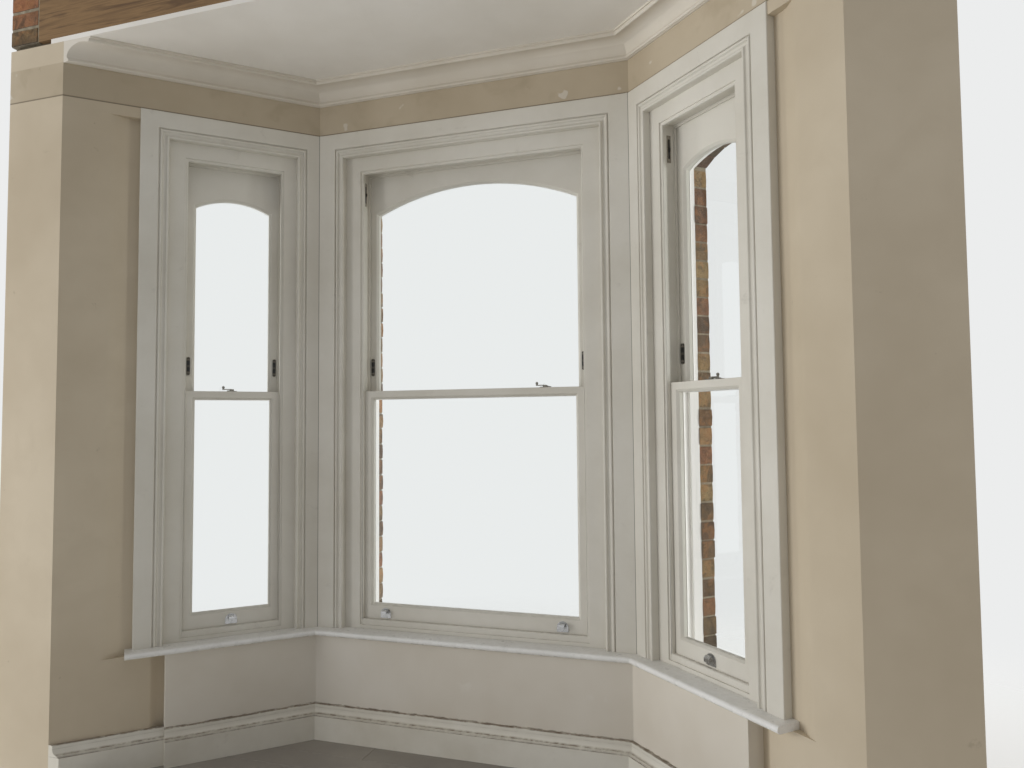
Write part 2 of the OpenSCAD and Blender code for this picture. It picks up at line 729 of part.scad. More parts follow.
// Lever fasteners on the meeting rails, with the keep on the upper sash
module sash_fasteners() {
    lever_len = 36;
    post_d = lower_sash_d + 24;
    color("#6b6a66") for (k = [-1, 0, 1]) on_side(k)
        translate([k == 0 ? 341 : 4, 0, z_board + meeting_hi]) mirror([k == 0 ? 1 : 0, 0, 0]) {
            translate([-20, post_d - 12, 0]) cube([40, 24, 3]);
            translate([0, post_d, 0]) cylinder(r = 9, h = 11);
            translate([-4.5, post_d, 6]) cube([9, upper_sash_d + 14 - post_d, 4]);
            translate([-15, upper_sash_d + 4, 0]) cube([30, 18, 7]);
            translate([0, post_d - 4.5, 8]) cube([lever_len, 9, 4]);
            translate([lever_len, post_d, 8]) cylinder(r = 4.5, h = 11);
            translate([lever_len, post_d, 19]) sphere(6);
        }
}

// Lifts on the bottom rails: a round-headed plate with a hook that turns down in front of it
module sash_lifts() {
    plate_r = 25;
    shoulder = 19;
    hook_z = 26;
    color("#c8c8c8") for (k = [-1, 0, 1]) on_side(k) for (x = k == 0 ? [-415, 415] : [0])
        translate([x, 0, z_board + 48]) {
            through(lower_sash_d - 3, lower_sash_d) {
                translate([-plate_r, 0]) square([2 * plate_r, shoulder]);
                intersection() {
                    translate([0, shoulder]) circle(plate_r);
                    translate([-plate_r, shoulder - 1]) square([2 * plate_r, plate_r + 2]);
                }
            }
            along_x(24) translate([lower_sash_d - 13, hook_z]) {
                intersection() {
                    difference() {
                        circle(12);
                        circle(9);
                    }
                    translate([-12, 0]) square([24, 12]);
                }
                translate([-12, -10]) square([3, 11]);
            }
        }
}

apron_wall(-1);  // left_apron_wall
apron_wall(0);  // centre_apron_wall
apron_wall(1);  // right_apron_wall
sill_course();
end_pier(-1);  // left_end_pier
corner_pier(-1);  // left_corner_pier
corner_pier(1);  // right_corner_pier
end_pier(1);  // right_end_pier
arch_head(-1);  // left_arch_head
arch_head(0);  // centre_arch_head
arch_head(1);  // right_arch_head
dentil_course();
wall_end(-1);  // left_wall_end
wall_end(1);  // right_wall_end
opening_beam();
wall_over_beam();
roof_slopes();
roof_lead();
gutter();
sleeper_walls();
floor_joists();
floor_boards();
ceiling();
apron_lining();
wall_plaster();
skirting();
cornice();
window_board();
box_frame(-1);  // left_frame
box_frame(0);  // centre_frame
box_frame(1);  // right_frame
architrave(-1);  // left_architrave
architrave(0);  // centre_architrave
architrave(1);  // right_architrave
upper_sash(-1);  // left_upper_sash
upper_sash(0);  // centre_upper_sash
upper_sash(1);  // right_upper_sash
lower_sash(-1);  // left_lower_sash
lower_sash(0);  // centre_lower_sash
lower_sash(1);  // right_lower_sash
panes();
sash_pulleys();
sash_stops();
sash_fasteners();
sash_lifts();
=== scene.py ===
"""Looks of the canted bay window: brick, slate, lead, joinery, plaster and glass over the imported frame.

X runs along the house wall, +Y points to the street and the room lies at -Y. The bay's sides are k = -1 for
the left, 0 for the middle and 1 for the right one. Depths go from the architraves' face towards the street.
"""

import math
import random

import bmesh
import bpy
from mathutils import Matrix, Vector


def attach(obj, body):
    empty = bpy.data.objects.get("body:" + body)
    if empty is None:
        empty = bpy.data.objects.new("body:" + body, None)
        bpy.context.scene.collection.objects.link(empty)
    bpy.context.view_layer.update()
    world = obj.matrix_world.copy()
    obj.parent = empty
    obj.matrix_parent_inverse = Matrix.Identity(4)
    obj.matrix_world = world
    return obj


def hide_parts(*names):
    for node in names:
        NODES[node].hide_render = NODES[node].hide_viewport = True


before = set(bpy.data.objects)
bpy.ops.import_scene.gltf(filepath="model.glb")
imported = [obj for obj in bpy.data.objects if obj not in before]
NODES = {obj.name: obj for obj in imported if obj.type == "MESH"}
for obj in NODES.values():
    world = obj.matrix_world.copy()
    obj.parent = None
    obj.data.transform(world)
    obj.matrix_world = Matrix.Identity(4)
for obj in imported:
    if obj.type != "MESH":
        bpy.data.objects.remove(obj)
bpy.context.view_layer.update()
rng = random.Random(11)

# Sizes of the frame, in metres
SIN45, TAN22 = math.sqrt(0.5), math.tan(math.pi / 8)
HALF_W, RUN = 0.735, 1.05  # half of the middle side and the whole of a slanted one, along the wall's face
D_IN, D_OUT, D_EAVES = 0.055, 0.27, 0.37  # depths of the brickwork's faces and of the eaves
REVEAL = 0.067  # brick in front of the frames
HOUSE_T, WALL_END, PLASTER = 0.33, 0.3, 0.02
GUTTER_D, GUTTER_R = 0.378, 0.052
DENTIL_H, DENTIL_STEP, DENTIL_PITCH = 0.075, 0.028, 0.15
FLOOR_T, JOIST_H, BEAM_H = 0.025, 0.15, 0.225
ROOF_T, SLATES_T = 0.05, 0.017  # roof slopes, and the part of them that the slates take up
MOUTH = HALF_W + RUN * SIN45
Y_FACE = (RUN * SIN45 - GUTTER_D - GUTTER_R) / 2
Y_ROOM = Y_FACE - RUN * SIN45
Y_STREET = Y_ROOM + HOUSE_T
X_END = MOUTH + WALL_END
JOIN = (RUN * SIN45 - HOUSE_T + D_OUT * SIN45) / SIN45  # end of a slanted wall's street face
BEAM_STREET, BEAM_ROOM = MOUTH - 0.315, MOUTH + 0.15  # half of the beam's length on its two sides
Z_FLOOR, Z_SILL, Z_SILL_LO, Z_SPRING = 1.05, 1.535, 1.385, 3.496
Z_FRAME_TOP, Z_EAVES, Z_ROOF, Z_CUT = 3.744, 4.08, 4.64, 4.79
Z_STRING = Z_EAVES - 2 * DENTIL_H
Z_SKIRT, Z_MEET = Z_FLOOR + 0.15, 2.6
Z_STOPS, Z_PULLEYS = 2.727, 3.55
Z_BAND = (3.832, 3.97)  # the plaster between the architraves and the cornice
GLASS_D, GLASS_STEP = 0.0915, 0.054  # depth of the lower glass, and from there to the upper glass
PULLEY_D = 0.082
SIDE_MID = 0.37
OPEN = ((0.0, 1.084, 0.118), (SIDE_MID, 0.405, 0.06))  # middle, width and rise of the brick openings
FRAME_W = (1.27, 0.625)

# Sizes of the bricks and the mortar
STRETCHER, HEADER, CLOSER, JOINT = 0.2165, 0.104, 0.0475, 0.008
COURSE = 0.0754
HALF_BRICK, LONG_BRICK, INNER_BRICK = 0.1025, 0.196, 0.206  # depths of bricks in the house wall
INNER_GAP = 0.006  # from the bay's inner corners to the bricks beside them
MORTAR = 0.003  # how far the mortar lies behind the bricks
CUT, LAP = 0.0006, 0.001  # how far it lies behind a cut face, and how far its solids overlap
CHAMFER = 0.0032
WOBBLE = 0.0012  # unevenness of edges and corners
LOOSE_END, LOOSE_SWELL = (-0.0014, 0.0036), (0.0002, 0.0034)  # the same at the jambs of the windows
FAN = (0.8, 0.42)  # lean of the outermost arch bricks, as a part of the arch's own angle
FAN_CUTS = ((0.0, 0.1025, 0.3175, 0.42), (0.0, 0.215, 0.4295))  # where the arch bricks end, by turns
FAN_JOINT, FAN_GAP = 0.0038, 0.002  # the joint over an arch brick, and half of the one beside it
FAN_WOBBLE = 0.0008
RED, REDDISH = 0.8, 0.35  # shares of red in a brick's colour

SHORT, TINY = 1e-3, 1e-5  # edges shorter than the first go, and places closer than the second are one
PIECES = []


class Face:
    """A plane that blocks are laid on: u and v run in it and n points out of it."""

    def __init__(self, o, u, v, n):
        self.o, self.u, self.v, self.n = Vector(o), Vector(u), Vector(v), Vector(n)

    def at(self, u, v, t=0.0):
        return self.o + self.u * u + self.v * v - self.n * t


def side_face(k, d, out=1):
    """Face of side k at depth d. Its u runs from the bay's corner, or from the middle of the middle side."""
    z = (0, 0, 1)
    if k == 0:
        return Face((0, Y_FACE + d, 0), (1, 0, 0), z, (0, out, 0))
    o = (k * (HALF_W + d * SIN45), Y_FACE + d * SIN45, 0)
    return Face(o, (k * SIN45, -SIN45, 0), z, (out * k * SIN45, out * SIN45, 0))


def wall_face(y, way, k=1):
    """Face of a straight wall at y. way is 1 where it looks to the street and -1 where to the room."""
    return Face((0, y, 0), (k, 0, 0), (0, 0, 1), (0, way, 0))


def side_points(k, *ends):
    """Points in plan on the middle side or the right one, from depths and places along them."""
    return [side_face(abs(k), d).at(u, 0) for d, u in ends]


def side_x(y, d):
    """x of the right side at depth d where it meets the line y."""
    return HALF_W + Y_FACE - y + 2 * d * SIN45


def side_s(y, d):
    """Distance along a slanted side at depth d where it meets the line y."""
    return (Y_FACE - y + d * SIN45) / SIN45


def side_ends(k, d, gap=0.0):
    """Both ends of side k at depth d, the one at the house wall short of it by the gap."""
    return (-d * TAN22, side_s(Y_STREET, d) - gap) if k else (-HALF_W - d * TAN22, HALF_W + d * TAN22)


def mitre_of(k, lo, hi):
    """The ends of side k that meet another side, with the way in which they follow the corner."""
    return {lo: 1} if k else {lo: 1, hi: -1}


# Outlines and blocks
def rect(u0, v0, u1, v1):
    return [(u0, v0), (u1, v0), (u1, v1), (u0, v1)]


def edges_of(p):
    return list(zip(p, p[1:] + p[:1]))


def area(p):
    return sum(a[0] * b[1] - b[0] * a[1] for a, b in edges_of(p)) / 2


def edge_line(a, b):
    """The edge's unit normal to its left, and its distance from the origin along it."""
    length = math.hypot(b[0] - a[0], b[1] - a[1]) or 1e-9
    nu, nv = -(b[1] - a[1]) / length, (b[0] - a[0]) / length
    return nu, nv, nu * a[0] + nv * a[1]


def clip(p, nu, nv, c):
    """The part of the convex outline p where nu * u + nv * v is at least c."""
    out = []
    for a, b in edges_of(p):
        da, db = nu * a[0] + nv * a[1] - c, nu * b[0] + nv * b[1] - c
        if da >= 0:
            out.append(a)
        if (da > 0 > db) or (da < 0 < db):
            f = da / (da - db)
            out.append((a[0] + (b[0] - a[0]) * f, a[1] + (b[1] - a[1]) * f))
    return out


def clip_all(p, *lines):
    """The part of p inside every line, or nothing where that is no outline."""
    for line in lines:
        p = clip(p, *line) if len(p) > 2 else []
    return p if len(p) > 2 else []


def inset(p, by):
    """Moves each edge of the outline inwards by its own distance."""
    lines = [edge_line(a, b) for a, b in edges_of(p)]
    lines = [(nu, nv, c + w) for (nu, nv, c), w in zip(lines, by)]
    out = []
    for i, q in enumerate(p):
        a, b = lines[i - 1], lines[i]
        det = a[0] * b[1] - a[1] * b[0]
        if abs(det) < 1e-6:
            out.append((q[0] + b[0] * by[i], q[1] + b[1] * by[i]))
        else:
            out.append(((a[2] * b[1] - a[1] * b[2]) / det, (a[0] * b[2] - a[2] * b[0]) / det))
    return out


def cleaned(p):
    """The outline anticlockwise and without short edges."""
    q = []
    for a in p:
        if not q or math.dist(a, q[-1]) > SHORT:
            q.append(a)
    while len(q) > 2 and math.dist(q[0], q[-1]) <= SHORT:
        q.pop()
    if len(q) < 3:
        return []
    return q if area(q) > 0 else q[::-1]


def near(x, values):
    return any(abs(x - v) < TINY for v in values)


def block(bm, face, p, depth, tint, chamfer=0.003, flat=(), level=(), mitre=None, sink=0.0, slope=None):
    """A block with the convex outline p as its front and worn front edges, but none at the u of flat and
    mitre or the v of level. mitre gives, for a u, the way in which the block's end follows the corner of the
    bay. slope, as (v, rate), tips the block back from v on."""
    p, mitre = cleaned(p), mitre or {}
    if not p or area(p) < 4e-4:
        return
    edges = edges_of(p)
    chamfer = min(chamfer, min(math.dist(a, b) for a, b in edges) / 4)

    def sharp(a, b):
        held = [(0, u) for u in (*flat, *mitre)] + [(1, v) for v in level]
        return any(near(a[i], (x,)) and near(b[i], (x,)) for i, x in held)

    tint_layer = bm.verts.layers.float_color["tint"]

    def ring(q, t):
        out = []
        for u, v in q:
            for end, way in mitre.items():
                if near(u, (end,)):
                    u += way * TAN22 * t
            back = slope[1] * max(0.0, v - slope[0]) if slope else 0.0
            vert = bm.verts.new(face.at(u, v, t + back))
            vert[tint_layer] = tint
            out.append(vert)
        return out

    front = ring(inset(p, [0.0 if sharp(a, b) else chamfer for a, b in edges]), sink)
    rim, back = ring(p, sink + chamfer), ring(p, depth)
    bm.faces.new(front)
    bm.faces.new(back[::-1])
    for i in range(len(p)):
        j = (i + 1) % len(p)
        bm.faces.new((rim[i], rim[j], front[j], front[i]))
        bm.faces.new((back[i], back[j], rim[j], rim[i]))


def prism(bm, bottom, top):
    """A closed solid between two rings of points."""
    a, b = [bm.verts.new(p) for p in bottom], [bm.verts.new(p) for p in top]
    bm.faces.new(a[::-1])
    bm.faces.new(b)
    for i in range(len(a)):
        j = (i + 1) % len(a)
        bm.faces.new((a[i], a[j], b[j], b[i]))


def plan(bm, pts, z0, z1, k=1):
    """A solid with its outline in plan, mirrored where k is -1."""
    prism(bm, [(k * p[0], p[1], z0) for p in pts], [(k * p[0], p[1], z1) for p in pts])


def slab(bm, face, p, t0, t1):
    prism(bm, [face.at(u, v, t1) for u, v in p], [face.at(u, v, t0) for u, v in p])


def tint(red=0.0):
    """Random shares for a block's shade and dirt, and its share of red."""
    return (rng.random(), rng.random(), red, 1.0)


def new_mesh():
    bm = bmesh.new()
    bm.verts.layers.float_color.new("tint")
    return bm


def linked(name, bm):
    """A new object with bm as its mesh."""
    mesh = bpy.data.meshes.new(name)
    bm.to_mesh(mesh)
    bm.free()
    o = bpy.data.objects.new(name, mesh)
    bpy.context.scene.collection.objects.link(o)
    return o


def piece(name, bm, slot, *replaced):
    bmesh.ops.recalc_face_normals(bm, faces=bm.faces)
    o = linked(name, bm)
    PIECES.append(o)
    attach(o, "root")
    if replaced:
        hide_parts(*replaced)


# Courses and arches
def course(a, b, closer, from_right):
    """Bricks of one Flemish course between a and b, with a closer after the first header where asked."""
    out, u, i, length = [], 0.0, 0, b - a
    head = [HEADER, CLOSER] if closer else []
    while u < length - 1e-4:
        w = head[i] if i < len(head) else (STRETCHER, HEADER)[(i - len(head)) % 2]
        rest = length - u - w
        if 0 < rest < 0.045 + JOINT:
            w = HEADER if w == STRETCHER and rest > 0.02 else w + rest
        out.append((u, min(u + w, length)))
        u += w + JOINT
        i += 1
    if from_right:
        out = [(length - e, length - s) for s, e in reversed(out)]
    return [(a + s, a + e) for s, e in out]


def every(*stretches):
    """The same stretches for every course."""
    return lambda z: stretches


def arch_of(k):
    """Middle of side k's brick arch, level of its centre, its radius and half of its angle."""
    mid, w, rise = OPEN[abs(k)]
    r = (w * w / 4 + rise * rise) / (2 * rise)
    return mid, Z_SPRING + rise - r, r, math.asin(w / 2 / r)


def beside_arch(p, k):
    """The part of a brick's outline beside the fan of side k's arch, or nothing where that is a sliver."""
    mid, w = OPEN[abs(k)][:2]
    lean = arch_of(k)[3] * FAN[abs(k)]
    way = 1 if sum(q[0] for q in p) / len(p) > mid else -1
    c, s = math.cos(lean), math.sin(lean)
    p = clip_all(p, (way * c, -s, JOINT + (way * mid + w / 2) * c - Z_SPRING * s))
    return p if p and area(p) > 7e-4 else []


def ragged(u0, u1, v0, v1, held_u, held_v, loose):
    """Outline of a brick with uneven edges, straight where u or v is held and freer at the u of loose."""

    def off():
        return rng.uniform(-WOBBLE, WOBBLE)

    def end(u, reach):
        return rng.uniform(*reach) if near(u, loose) else off()

    left, right, high = near(u0, held_u), near(u1, held_u), near(v1, held_v)
    ua = u0 if left else u0 - end(u0, LOOSE_END)
    ub = u1 if right else u1 + end(u1, LOOSE_END)
    va, vb = v0 + off(), v1 if high else v1 + off()
    n = max(1, round((u1 - u0) / 0.055))
    out = [(ua, va)] + [(ua + (ub - ua) * i / n, va + off()) for i in range(1, n)] + [(ub, va)]
    if not right:
        out.append((ub + end(u1, LOOSE_SWELL), (va + vb) / 2))
    out.append((ub, vb))
    out += [(ub + (ua - ub) * i / n, vb + (0 if high else off())) for i in range(1, n)]
    out.append((ua, vb))
    if not left:
        out.append((ua - end(u0, LOOSE_SWELL), (va + vb) / 2))
    return out


def brickwork(bm, face, z0, z1, spans, depths=(REVEAL,), pitch=COURSE, red=lambda z: 0.0, arch=None,
              parity=0, first=0, chamfer=CHAMFER, flat=(), level=(), mitre=None, loose=()):
    """Courses from z0 up to z1. spans(z) gives the stretches of the course from z on as (from, to, start
    from the right), depths the bricks' depths in the courses by turns and red a brick's share of red at a
    level. arch is the side whose arch cuts in. parity and first say which courses have a closer. block and
    ragged explain the rest."""
    i = first
    while z0 + (i - first) * pitch < z1 - 0.012:
        lo = z0 + (i - first) * pitch + JOINT
        hi = min(z0 + (i - first + 1) * pitch, z1)
        for a, b, from_right in spans(lo):
            held = [x for x in (*flat, *(mitre or ()), a, b) if x not in loose]
            for u0, u1 in course(a, b, (i + parity) % 2 == 1, from_right):
                p = ragged(u0, u1, lo, hi, held, level, loose)
                if arch is not None and hi > Z_SPRING + 0.002:
                    p = beside_arch(p, arch)
                if p:
                    block(bm, face, p, depths[i % len(depths)], tint(red((lo + hi) / 2)),
                          chamfer * rng.uniform(0.6, 1.8), flat, level, mitre, rng.uniform(0.0, 0.0016))
        i += 1


def voussoirs(bm, k, face, count):
    """Arch bricks on edge, fanned out from the curve to the string course in headers and stretchers."""
    mid, zc, r, half = arch_of(k)

    def at(i, q, gap):
        a = -half + 2 * half * i / count
        lean = a * FAN[abs(k)]
        u, v = mid + r * math.sin(a), zc + r * math.cos(a)
        s, c = math.sin(lean), math.cos(lean)
        return u + q * s + gap * c, v + q * c - gap * s

    for i in range(count):
        outermost = min(i, count - 1 - i) < max(1, count // 8)
        cuts = FAN_CUTS[i % 2]
        for cut, q1 in zip(cuts, cuts[1:]):
            q0 = cut + (FAN_JOINT if cut else 0.0)
            corners = ((i, q0, FAN_GAP), (i, q1, FAN_GAP), (i + 1, q1, -FAN_GAP), (i + 1, q0, -FAN_GAP))
            p = [at(j, q, gap + rng.uniform(-FAN_WOBBLE, FAN_WOBBLE)) for j, q, gap in corners]
            p = clip_all(p[::-1] if area(p) < 0 else p, (0, -1, -Z_STRING - 0.001))
            if p:
                red = RED if outermost else rng.choice((0.0, 0.1, 0.35, 0.6))
                block(bm, face, p, REVEAL, tint(red), rng.uniform(0.0015, 0.003),
                      sink=rng.uniform(0, 0.0012))


def mostly_stock(z):
    """Share of red in a brick at the level z: a band of it below the arches, and a few reddish bricks."""
    return 0.5 if Z_SPRING - 0.3 < z < Z_SPRING - 0.08 else rng.choice((0.0, 0.0, 0.0, 0.15, 0.3))


# The bay's walls
def bay_side(k, side):
    """Apron, piers and arch head of one side: their bricks, and the mortar behind them."""
    face, i = side_face(k, D_OUT), abs(k)
    mid, w = OPEN[i][:2]
    lo, hi = side_ends(k, D_OUT, JOINT / 2)
    mitre = mitre_of(k, lo, hi)
    inner = [end + gap for end, gap in zip(side_ends(k, D_IN), (INNER_GAP, -INNER_GAP))]
    if k:
        inner[1] = side_s(Y_ROOM + PLASTER, D_IN)

    bm = new_mesh()
    brickwork(bm, face, 0, Z_SILL_LO, every((lo, hi, False)), pitch=Z_SILL_LO / 18, parity=i, mitre=mitre)
    brickwork(bm, side_face(k, D_IN, -1), 0, Z_FLOOR - FLOOR_T, every((*inner, k != 0)), (0.06,), parity=i)
    piece(side + "_apron_bricks", bm, "stock_brick")

    def piers(z):
        if z < Z_SPRING - 0.02:
            return (lo, mid - w / 2, False), (mid + w / 2, hi, k == 0)
        return ((lo, hi, False),)

    bm = new_mesh()
    brickwork(bm, face, Z_SILL, Z_STRING, piers, pitch=(Z_STRING - Z_SILL) / 32, red=mostly_stock, arch=k,
              parity=i, mitre=mitre, loose=(mid - w / 2, mid + w / 2))
    voussoirs(bm, k, face, (15, 7)[i])
    piece(side + "_upper_bricks", bm, "stock_brick")

    d0, d1 = D_IN + MORTAR, D_OUT - MORTAR
    (a, b), (c, d) = side_ends(k, d0), side_ends(k, d1)
    if k:
        b = d = JOIN
    bm = new_mesh()
    plan(bm, side_points(k, (d0, a), (d0, b), (d1, d), (d1, c)), 0, Z_SILL_LO, k or 1)
    piece(side + "_apron_mortar", bm, "stock_brick", side + "_apron_wall")

    bm = new_mesh()
    zc, r, half = arch_of(k)[1:]
    arc = [(mid + (r + MORTAR) * math.sin(a), zc + (r + MORTAR) * math.cos(a))
           for a in [half - 2 * half * i / 20 for i in range(21)]]
    slab(bm, face, [(mid - w / 2, Z_EAVES), (mid + w / 2, Z_EAVES)] + arc, MORTAR, REVEAL)
    frame_w = FRAME_W[i]
    slab(bm, face, rect(mid - frame_w / 2, Z_FRAME_TOP, mid + frame_w / 2, Z_EAVES), REVEAL, D_OUT - D_IN)
    piece(side + "_head_mortar", bm, "stock_brick", side + "_arch_head")


def pier_mortar(k, side):
    """Mortar of the piers at the bay's corner and at its end. Their bricks belong to the bay's sides."""
    d1, back = D_OUT - MORTAR, D_OUT - REVEAL
    x_out, x_in = OPEN[0][1] / 2 + MORTAR, FRAME_W[0] / 2
    s_out, s_in = SIDE_MID - OPEN[1][1] / 2 - MORTAR, SIDE_MID - FRAME_W[1] / 2
    bm = new_mesh()
    middle = side_points(0, (d1, x_out), (back, x_out), (back, x_in), (D_IN, x_in))
    ends = (D_IN, -D_IN * TAN22), (D_IN, s_in), (back, s_in), (back, s_out), (d1, s_out), (d1, -d1 * TAN22)
    plan(bm, middle[1:] + side_points(1, *ends) + middle[:1], Z_SILL, Z_EAVES, k)
    piece(side + "_corner_pier_mortar", bm, "stock_brick", side + "_corner_pier")
    s_out, s_in = SIDE_MID + OPEN[1][1] / 2 + MORTAR, SIDE_MID + FRAME_W[1] / 2
    bm = new_mesh()
    ends = (back, s_out), (back, s_in), (D_IN, s_in), (D_IN, JOIN), (d1, JOIN), (d1, s_out)
    plan(bm, side_points(1, *ends), Z_SILL, Z_EAVES, k)
    piece(side + "_end_pier_mortar", bm, "stock_brick", side + "_end_pier")


def wall_stub(k, side):
    """The end of the house wall beside the bay."""
    y_room, top = Y_ROOM + PLASTER, Z_EAVES - 0.011
    d0, d1, y0, y1, x1 = D_IN + MORTAR, D_OUT - MORTAR, y_room + MORTAR, Y_STREET - MORTAR, X_END - CUT
    at_wall, room_corner, street_corner = side_points(1, (D_OUT, JOIN), (d0, JOIN), (d1, JOIN))
    bm = new_mesh()
    brickwork(bm, wall_face(Y_STREET, 1, k), 0, top, every((at_wall[0] + JOINT / 2, X_END, True)),
              (HALF_BRICK, LONG_BRICK), flat=(X_END,))
    brickwork(bm, wall_face(y_room, -1, k), 0, top, every((side_x(y_room, D_IN), X_END, True)),
              (LONG_BRICK, HALF_BRICK), parity=1, flat=(X_END,))
    piece(side + "_wall_bricks", bm, "plain_brick")

    bm = new_mesh()
    plan(bm, [room_corner, (side_x(y0, d0), y0), (x1, y0), (x1, y1), (street_corner[0], y1), street_corner],
         0, Z_EAVES, k)
    piece(side + "_wall_mortar", bm, "plain_brick", side + "_wall_end")


def beside_beam(half):
    """Stretches of the wall's courses, which keep clear of the beam by half of its length up to its top."""

    def spans(z):
        if z < Z_EAVES + BEAM_H - 0.015:
            return (-X_END, -half, False), (half, X_END, True)
        return ((-X_END, X_END, False),)

    return spans


def wall_over():
    """The house wall over the beam, cut plain at its top and ends."""
    bm = new_mesh()
    row = 54  # the first course over the eaves, counted from the ground
    z_row = row * COURSE
    z_last = z_row + COURSE * int((Z_CUT - z_row) / COURSE)
    ends = (-X_END, X_END)
    brickwork(bm, wall_face(Y_STREET, 1), z_row, z_last, beside_beam(BEAM_STREET + 0.012),
              (HALF_BRICK, INNER_BRICK), first=row, flat=ends)
    brickwork(bm, wall_face(Y_ROOM, -1), z_row, z_last, beside_beam(BEAM_ROOM + 0.004),
              (INNER_BRICK, HALF_BRICK), parity=1, first=row, flat=ends)
    for parity, back in ((0, 0.0), (1, 0.1138), (0, 0.2275)):  # the cut course, through the wall
        brickwork(bm, wall_face(Y_STREET - back, 1), z_last, Z_CUT, every((*ends, False)), (HALF_BRICK,),
                  parity=parity, chamfer=0.003, flat=ends, level=(Z_CUT,))
    piece("wall_over_bricks", bm, "plain_brick")

    bm = new_mesh()
    y0, y_step, y1, x1 = Y_ROOM + MORTAR, Y_ROOM + 0.227, Y_STREET - MORTAR, X_END - CUT
    beam_top = Z_EAVES + BEAM_H
    plan(bm, rect(-x1, y0, x1, y1), beam_top, Z_CUT - CUT)
    for k in (-1, 1):
        plan(bm, rect(BEAM_STREET + 0.002, y_step, x1, y1), Z_EAVES, beam_top + LAP, k)
        plan(bm, rect(BEAM_ROOM + 0.0005, y0, x1, y_step + LAP), Z_EAVES, beam_top + LAP, k)
    piece("wall_over_mortar", bm, "plain_brick", "wall_over_beam")


def dentils():
    """Oversailing courses under the gutter: a plain one over a row of dentils."""
    bm, core = new_mesh(), new_mesh()
    z_mid, gap = Z_EAVES - DENTIL_H, 0.002
    for k in (0, -1, 1):
        d = D_OUT + 2 * DENTIL_STEP
        face, (lo, hi) = side_face(k, d), side_ends(k, d, gap)
        brickwork(bm, face, z_mid - JOINT + gap, Z_EAVES, every((lo, hi, False)), (0.12,), pitch=0.2,
                  parity=abs(k), mitre=mitre_of(k, lo, hi))
        a, b = lo + TAN22 * MORTAR, hi if k else hi - TAN22 * MORTAR
        z_low = z_mid + 0.004
        slab(core, face, [(a, z_low), (b, z_low), (b, Z_EAVES), (lo if k else a, Z_EAVES)], MORTAR, 0.08)

        d = D_OUT + DENTIL_STEP
        face, (lo, hi) = side_face(k, d), side_ends(k, d, gap)
        for i in range(-7, 8):
            u = (i - 0.25) * DENTIL_PITCH + (SIDE_MID if k else 0)
            dentil = rect(u, Z_STRING + gap, u + DENTIL_PITCH / 2, z_mid + 0.001)
            p = clip_all(dentil, (1, 0, lo), (-1, 0, -hi))
            if p:
                block(bm, face, p, 0.1, tint(REDDISH), mitre=mitre_of(k, lo, hi),
                      sink=rng.uniform(0, 0.0014))
    piece("dentil_bricks", bm, "red_brick", "dentil_course")
    piece("dentil_mortar", core, "red_brick")


def sleepers():
    """Low walls under the joists."""
    bm, core = new_mesh(), new_mesh()
    top = Z_FLOOR - FLOOR_T - JOIST_H
    for y in (Y_ROOM + 0.12, Y_FACE - 0.12):
        half = side_x(y, D_IN) - 0.12
        for way, parity in ((1, 0), (-1, 1)):
            brickwork(bm, wall_face(y + way * 0.051, way), 0, top, every((-half, half, False)), (0.05,),
                      pitch=top / 11, parity=parity)
        plan(core, rect(0.005 - half, y - 0.045, half - 0.005, y + 0.045), 0, top - 0.002)
    piece("sleeper_bricks", bm, "plain_brick", "sleeper_walls")
    piece("sleeper_mortar", core, "plain_brick")


for k, side in ((0, "centre"), (-1, "left"), (1, "right")):
    bay_side(k, side)
for k, side in ((-1, "left"), (1, "right")):
    pier_mortar(k, side)
    wall_stub(k, side)
wall_over()
dentils()
sleepers()

# The roof
ROOF_RUN = Y_FACE + D_EAVES - Y_STREET
SLOPE = (Z_ROOF - Z_EAVES) / ROOF_RUN
ANGLE = math.atan(SLOPE)
SLOPE_LENGTH = ROOF_RUN / math.cos(ANGLE)
SLATE_ROWS, SLATE_W, SLATE_T = 5, 0.252, 0.0058
SLATE_GAP, SLATE_DROP = 0.0024, 0.0075  # between slates, and from one row's tails to the next row's heads


def roof_points(bm, under):
    """The roof's corners some way under its face: four at the eaves from the left on, and two at the top."""
    d = D_EAVES - under / math.sin(ANGLE)
    x, run = HALF_W + d * TAN22, Y_FACE + d - Y_STREET
    left = [(-side_x(Y_STREET, d), Y_STREET, Z_EAVES), (-x, Y_FACE + d, Z_EAVES)]
    top = (run * TAN22 - x, Y_STREET, Z_EAVES + SLOPE * run)
    pts = left + [(-a, b, c) for a, b, c in left[::-1]] + [top, (-top[0], *top[1:])]
    return [bm.verts.new(p) for p in pts]


def roof_deck():
    """Boards and rafters under the slates, as one shell."""
    bm = new_mesh()
    outer, inner = roof_points(bm, SLATES_T), roof_points(bm, ROOF_T)
    for f in ((1, 2, 5, 4), (2, 3, 5), (1, 4, 0)):
        bm.faces.new([outer[j] for j in f])
        bm.faces.new([inner[j] for j in f][::-1])
    rim = (0, 1, 2, 3, 5, 4)
    for a, b in edges_of(rim):
        bm.faces.new((outer[a], outer[b], inner[b], inner[a]))
    piece("roof_deck", bm, "rough_timber", "roof_slopes")


